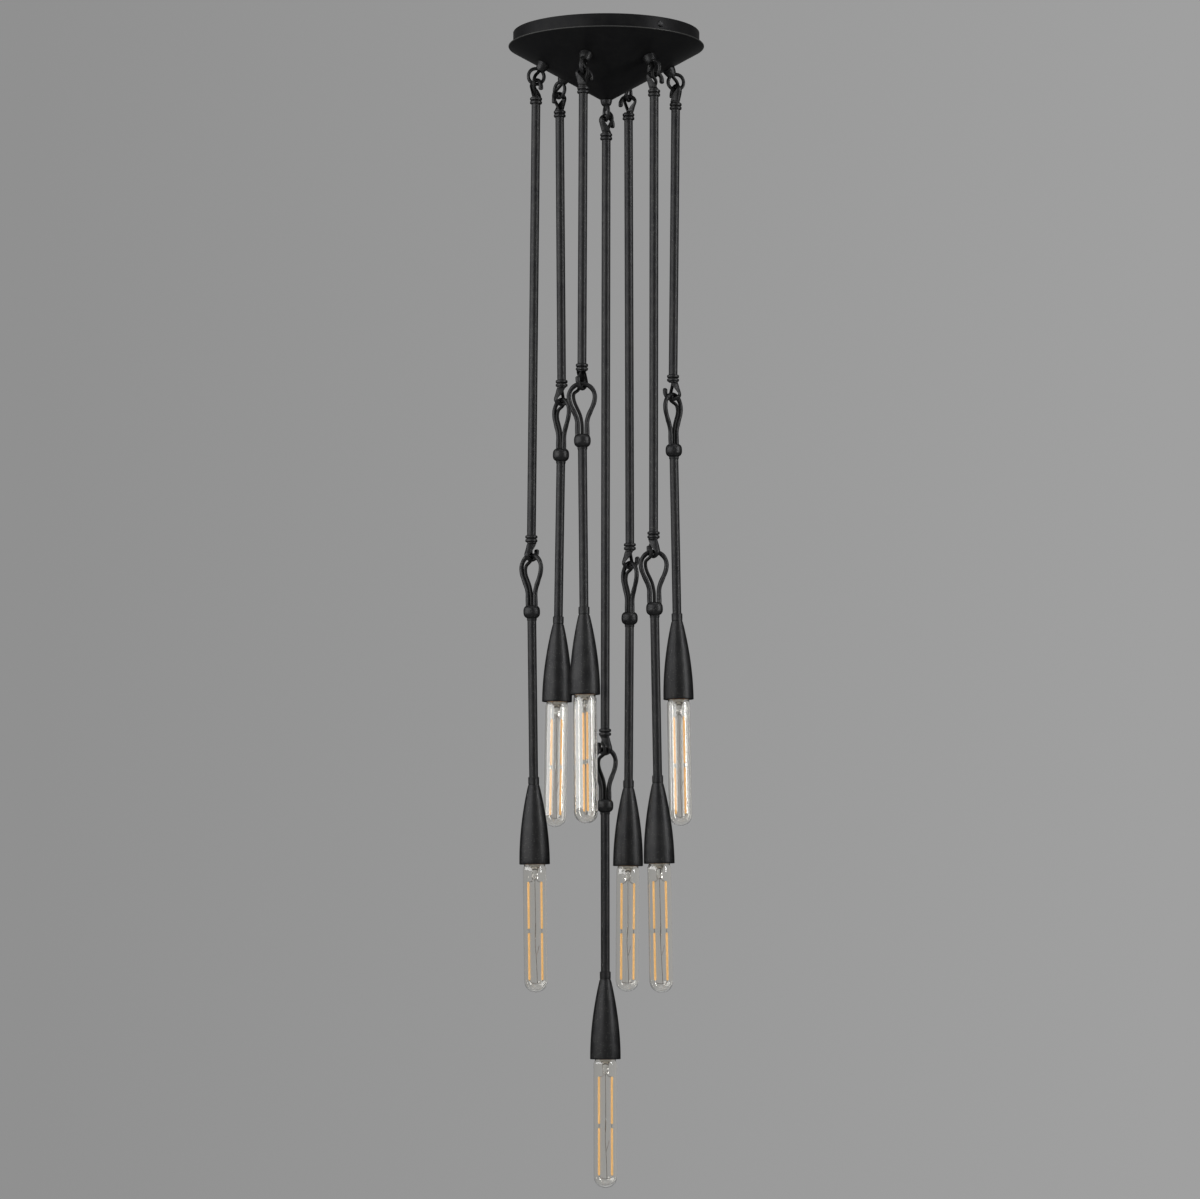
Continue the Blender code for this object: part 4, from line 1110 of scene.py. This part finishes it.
for number, strand in STRANDS.items():
    for name, points, material, slot in (
        ("lamp_glass", turned(glass_outline(), 72), LAMP_GLASS, "lamp_glass"),
        ("lamp_cap", cap_points(), BRASS_CAP, "zinc_steel"),
        ("lamp_cement", cement_points(), PORCELAIN, "porcelain"),
        ("lamp_contact", contact_points(), CONTACT_METAL, "screw_steel"),
    ):
        form = placed(points, strand, "drop", "lower", loop=name == "lamp_glass")
        piece(f"{name}_{number}", [form], material, f"bulb_{number}", f"lamp_{number}")

# %% [markdown]
# Inside stands a glass stem, pressed flat round its wires. Two legs of filament hang from it, each
# of two sticks in a row. A stick is a strip of tiny diodes under amber silicone, and glows softly
# along its length. A thin wire down the middle forks near the end and carries the lower joint.

# %% Stems, wires and filaments
FILAMENT_OFFSET = 0.0082
FILAMENT_RADIUS = 0.0014
FILAMENT_LENGTH = 0.0590
FILAMENT_GAP = 0.0050
FILAMENT_TOP = 0.0225
STEM_RADIUS = 0.0036
STEM_LENGTH = 0.0195
FLARE_LENGTH = 0.009
WIRE_RADIUS = 0.00032
AMBER = "#8a5f2c"
AMBER_PALE = "#a87c44"
AMBER_GLOW = "#ffc97e"
NICKEL = "#8f8a85"
NICKEL_DARK = "#5a4a44"

NICKEL_WIRE = patchy_metal("nickel_lead_wire", NICKEL_DARK, NICKEL, 0.002, 1.0, 0.35)


def amber_silicone():
    """Filament sticks, lit: amber silicone that glows, paler in patches where diodes sit."""
    made, tree, shader = finish(
        "lit_amber_silicone", Roughness=0.5, Emission_Color=linear(AMBER_GLOW), Emission_Strength=0.58
    )
    beads = noise(tree, 420.0, 2.0)
    paint(shader, tree, beads, (0.35, AMBER), (0.65, AMBER_PALE))
    return made


FILAMENT = amber_silicone()


def wire(points):
    """A thin round wire on a smooth curve through points."""
    return swept(through(points, 24), WIRE_RADIUS, 10, np.array([0.31, 0.95, 0.08]))


def stick(x, top):
    """A straight filament stick at a distance from the lamp's axis, with eased ends."""
    share = np.array([0.0, 0.01, 0.03, 0.5, 0.97, 0.99, 1.0])
    ease = np.array([0.45, 0.85, 1.0, 1.0, 1.0, 0.85, 0.45])
    path = stacked(x, 0.0, top - FILAMENT_LENGTH * share)
    return swept(path, FILAMENT_RADIUS * ease, 16, np.array([0.0, 1.0, 0.0]))


def stem_outline():
    """A flare from the cap that narrows to the stem's tube and swells a little at the press."""
    low = CUP_MOUTH - STEM_LENGTH
    keys = [(0.0105, CUP_MOUTH + 0.003), (0.0066, CUP_MOUTH - 0.003)]
    keys += [(STEM_RADIUS + 0.0004, CUP_MOUTH - FLARE_LENGTH), (STEM_RADIUS, low + 0.006)]
    keys += [(STEM_RADIUS + 0.0005, low + 0.0025), (STEM_RADIUS - 0.0004, low)]
    flare = through([(radius, 0.0, height) for radius, height in keys], 30)[:, [0, 2]]
    return np.concatenate([[(0.0, keys[0][1])], flare, [(0.0, low - 0.0012)]])


def stem_points():
    """The stem turned, and pressed to two thirds of its depth towards its lower end."""
    points = turned(stem_outline(), 40)
    press = np.clip((CUP_MOUTH - FLARE_LENGTH - points[..., 2]) / 0.008, 0, 1)
    points[..., 1] *= 1 - 0.35 * press
    return points


def lamp_wires():
    """Leads from the press to the sticks, the link between the sticks, and the forked middle wire."""
    top = CUP_MOUTH - FILAMENT_TOP
    joint = top - FILAMENT_LENGTH
    second = joint - FILAMENT_GAP
    end = second - FILAMENT_LENGTH
    press = CUP_MOUTH - STEM_LENGTH
    fork = end + 0.030
    low = end - 0.004
    runs = []
    for side in (-1, 1):
        x, inner = side * FILAMENT_OFFSET, side * 0.0022
        runs += [[(inner, 0, press + 0.004), (side * 0.0030, 0, press - 0.0015), (x, 0, top - 0.001)]]
        runs += [[(x, 0, joint + 0.001), (x * 0.97, 0, joint - 0.0025), (x, 0, second - 0.001)]]
        runs += [[(x, 0, end + 0.001), (x * 0.9, 0, end - 0.0025), (side * 0.002, 0, low)]]
    bent = (-0.0004, 0.0006, fork + 0.015)
    runs += [[(0, 0, press + 0.003), (0.0002, 0, joint), bent, (0.0006, 0, fork)]]
    runs += [[(0.0044, 0.0010, fork + 0.013), (0.0026, 0.0004, fork + 0.006), (0.0006, 0, fork)]]
    runs += [[(0.0006, 0, fork), (0.0012, 0, fork - 0.015), (0.0018, 0, low)]]
    runs += [[(-0.0020, 0, low), (0.0, 0.0004, end - 0.0046), (0.0020, 0, low)]]
    return [wire(points) for points in runs]


def rod_of_glass():
    """The slim glass rod that stiffens the middle wire between the two rows of sticks."""
    middle = CUP_MOUTH - FILAMENT_TOP - FILAMENT_LENGTH
    path = np.array([(0.0002, 0.0, middle + 0.008 - 0.0025 * step) for step in range(9)])
    ease = np.array([0.35, 0.8, 1.0, 1.0, 1.0, 1.0, 1.0, 0.8, 0.35])
    return swept(path, 0.0010 * ease, 16, np.array([0.0, 1.0, 0.0]))


for number, strand in STRANDS.items():
    spin = turn_about_z(strand["lamp"])
    top = CUP_MOUTH - FILAMENT_TOP
    rows = (top, top - FILAMENT_LENGTH - FILAMENT_GAP)
    sticks = [stick(side * FILAMENT_OFFSET, row) for side in (-1, 1) for row in rows]
    for name, grids, material, slot in (
        ("lamp_stem", [stem_points(), rod_of_glass()], STEM_GLASS, "lamp_glass"),
        ("lamp_filaments", sticks, FILAMENT, "lamp_glass"),
        ("lamp_wires", lamp_wires(), NICKEL_WIRE, "zinc_steel"),
    ):
        skins = [placed(grid @ spin.T, strand, "drop", "lower") for grid in grids]
        piece(f"{name}_{number}", skins, material, f"bulb_{number}", f"lamp_{number}")

# %% [markdown]
# The studio is plain: a pale floor far below, a grey backdrop that is a little lighter on the
# right, and soft lamps. A wide soft box stands at the left and a narrower one at the right, both a
# little in front, since that is what draws a broad sheen down the left of every rod and a line down
# its right, and leaves the middle dark. The boxes stand level with the canopy, so the upper lamps
# mirror them and the lower lamps stay clear. Hardly any light comes from the front or from below.

# %% Floor
FLOOR_HEIGHT = -3.2
FLOOR_RADIUS = 9.0
FLOOR_SIDES = 96
FLOOR_PALE = "#f2f2f1"

turn = 2 * np.pi * np.arange(FLOOR_SIDES) / FLOOR_SIDES
edge = stacked(FLOOR_RADIUS * np.cos(turn), FLOOR_RADIUS * np.sin(turn), FLOOR_HEIGHT)
floor_mesh = bpy.data.meshes.new("floor")
floor_mesh.from_pydata(edge.tolist(), [], [list(range(FLOOR_SIDES))])
floor = bpy.data.objects.new("floor", floor_mesh)
bpy.context.scene.collection.objects.link(floor)
floor_paint, _, _ = finish("pale_matt_paint", Base_Color=linear(FLOOR_PALE), Roughness=0.9)
floor_mesh.materials.append(floor_paint)

# %% Backdrop and fill light
BACKDROP_LEFT = "#909090"
BACKDROP_RIGHT = "#a0a0a0"
BACKDROP_REACH = 0.13
FILL_GREY = "#c6c8cb"
FILL_STRENGTH = 0.32

world = bpy.data.worlds.new("studio")
bpy.context.scene.world = world
world.use_nodes = True
sky = world.node_tree
sky.nodes.clear()
way = add(sky, "SeparateXYZ", {"Vector": add(sky, "TexCoord").outputs["Object"]}).outputs["X"]
across = remap(sky, way, -BACKDROP_REACH, BACKDROP_REACH)
shade = ramp(sky, across, (0.0, BACKDROP_LEFT), (1.0, BACKDROP_RIGHT))
rays = add(sky, "LightPath").outputs
seen = add(sky, "Math", {0: rays["Is Camera Ray"], 1: rays["Is Glossy Ray"]}, operation="MAXIMUM")
seen = add(sky, "Math", {0: seen.outputs[0], 1: rays["Is Transmission Ray"]}, operation="MAXIMUM")
fill = add(sky, "Background", {"Color": linear(FILL_GREY), "Strength": FILL_STRENGTH})
shown = add(sky, "Background", {"Color": shade, "Strength": 1.0})
mixed = add(sky, "MixShader", {0: seen.outputs[0], 1: fill.outputs[0], 2: shown.outputs[0]})
add(sky, "OutputWorld", {"Surface": mixed.outputs[0]})

# %% Soft boxes
LIGHTS = {
    "left_soft_box": ((-2.18, -1.02, 0.14), (0.0, 0.0, 0.14), (4.4, 2.2), 118),
    "right_soft_box": ((2.3, -1.02, 0.14), (0.0, 0.0, 0.14), (0.5, 2.2), 54),
    "top_soft_box": ((0.3, -0.8, 2.2), (0.0, 0.0, -0.3), (2.0, 2.0), 24),
}


def soft_box(name, place, aim, size, watts):
    """An area lamp that faces a point: its -Z axis lies along the way from its place to the aim."""
    data = bpy.data.lights.new(name, "AREA")
    data.shape = "RECTANGLE"
    data.size, data.size_y = size
    data.energy = watts
    lamp = bpy.data.objects.new(name, data)
    lamp.location = place
    back = np.array(place) - np.array(aim)
    azimuth = np.arctan2(back[0], -back[1])
    lamp.rotation_euler = (np.arctan2(np.hypot(back[0], back[1]), back[2]), 0.0, azimuth)
    bpy.context.scene.collection.objects.link(lamp)


for name, (place, aim, size, watts) in LIGHTS.items():
    soft_box(name, place, aim, size, watts)
bpy.context.scene.view_settings.view_transform = "Standard"
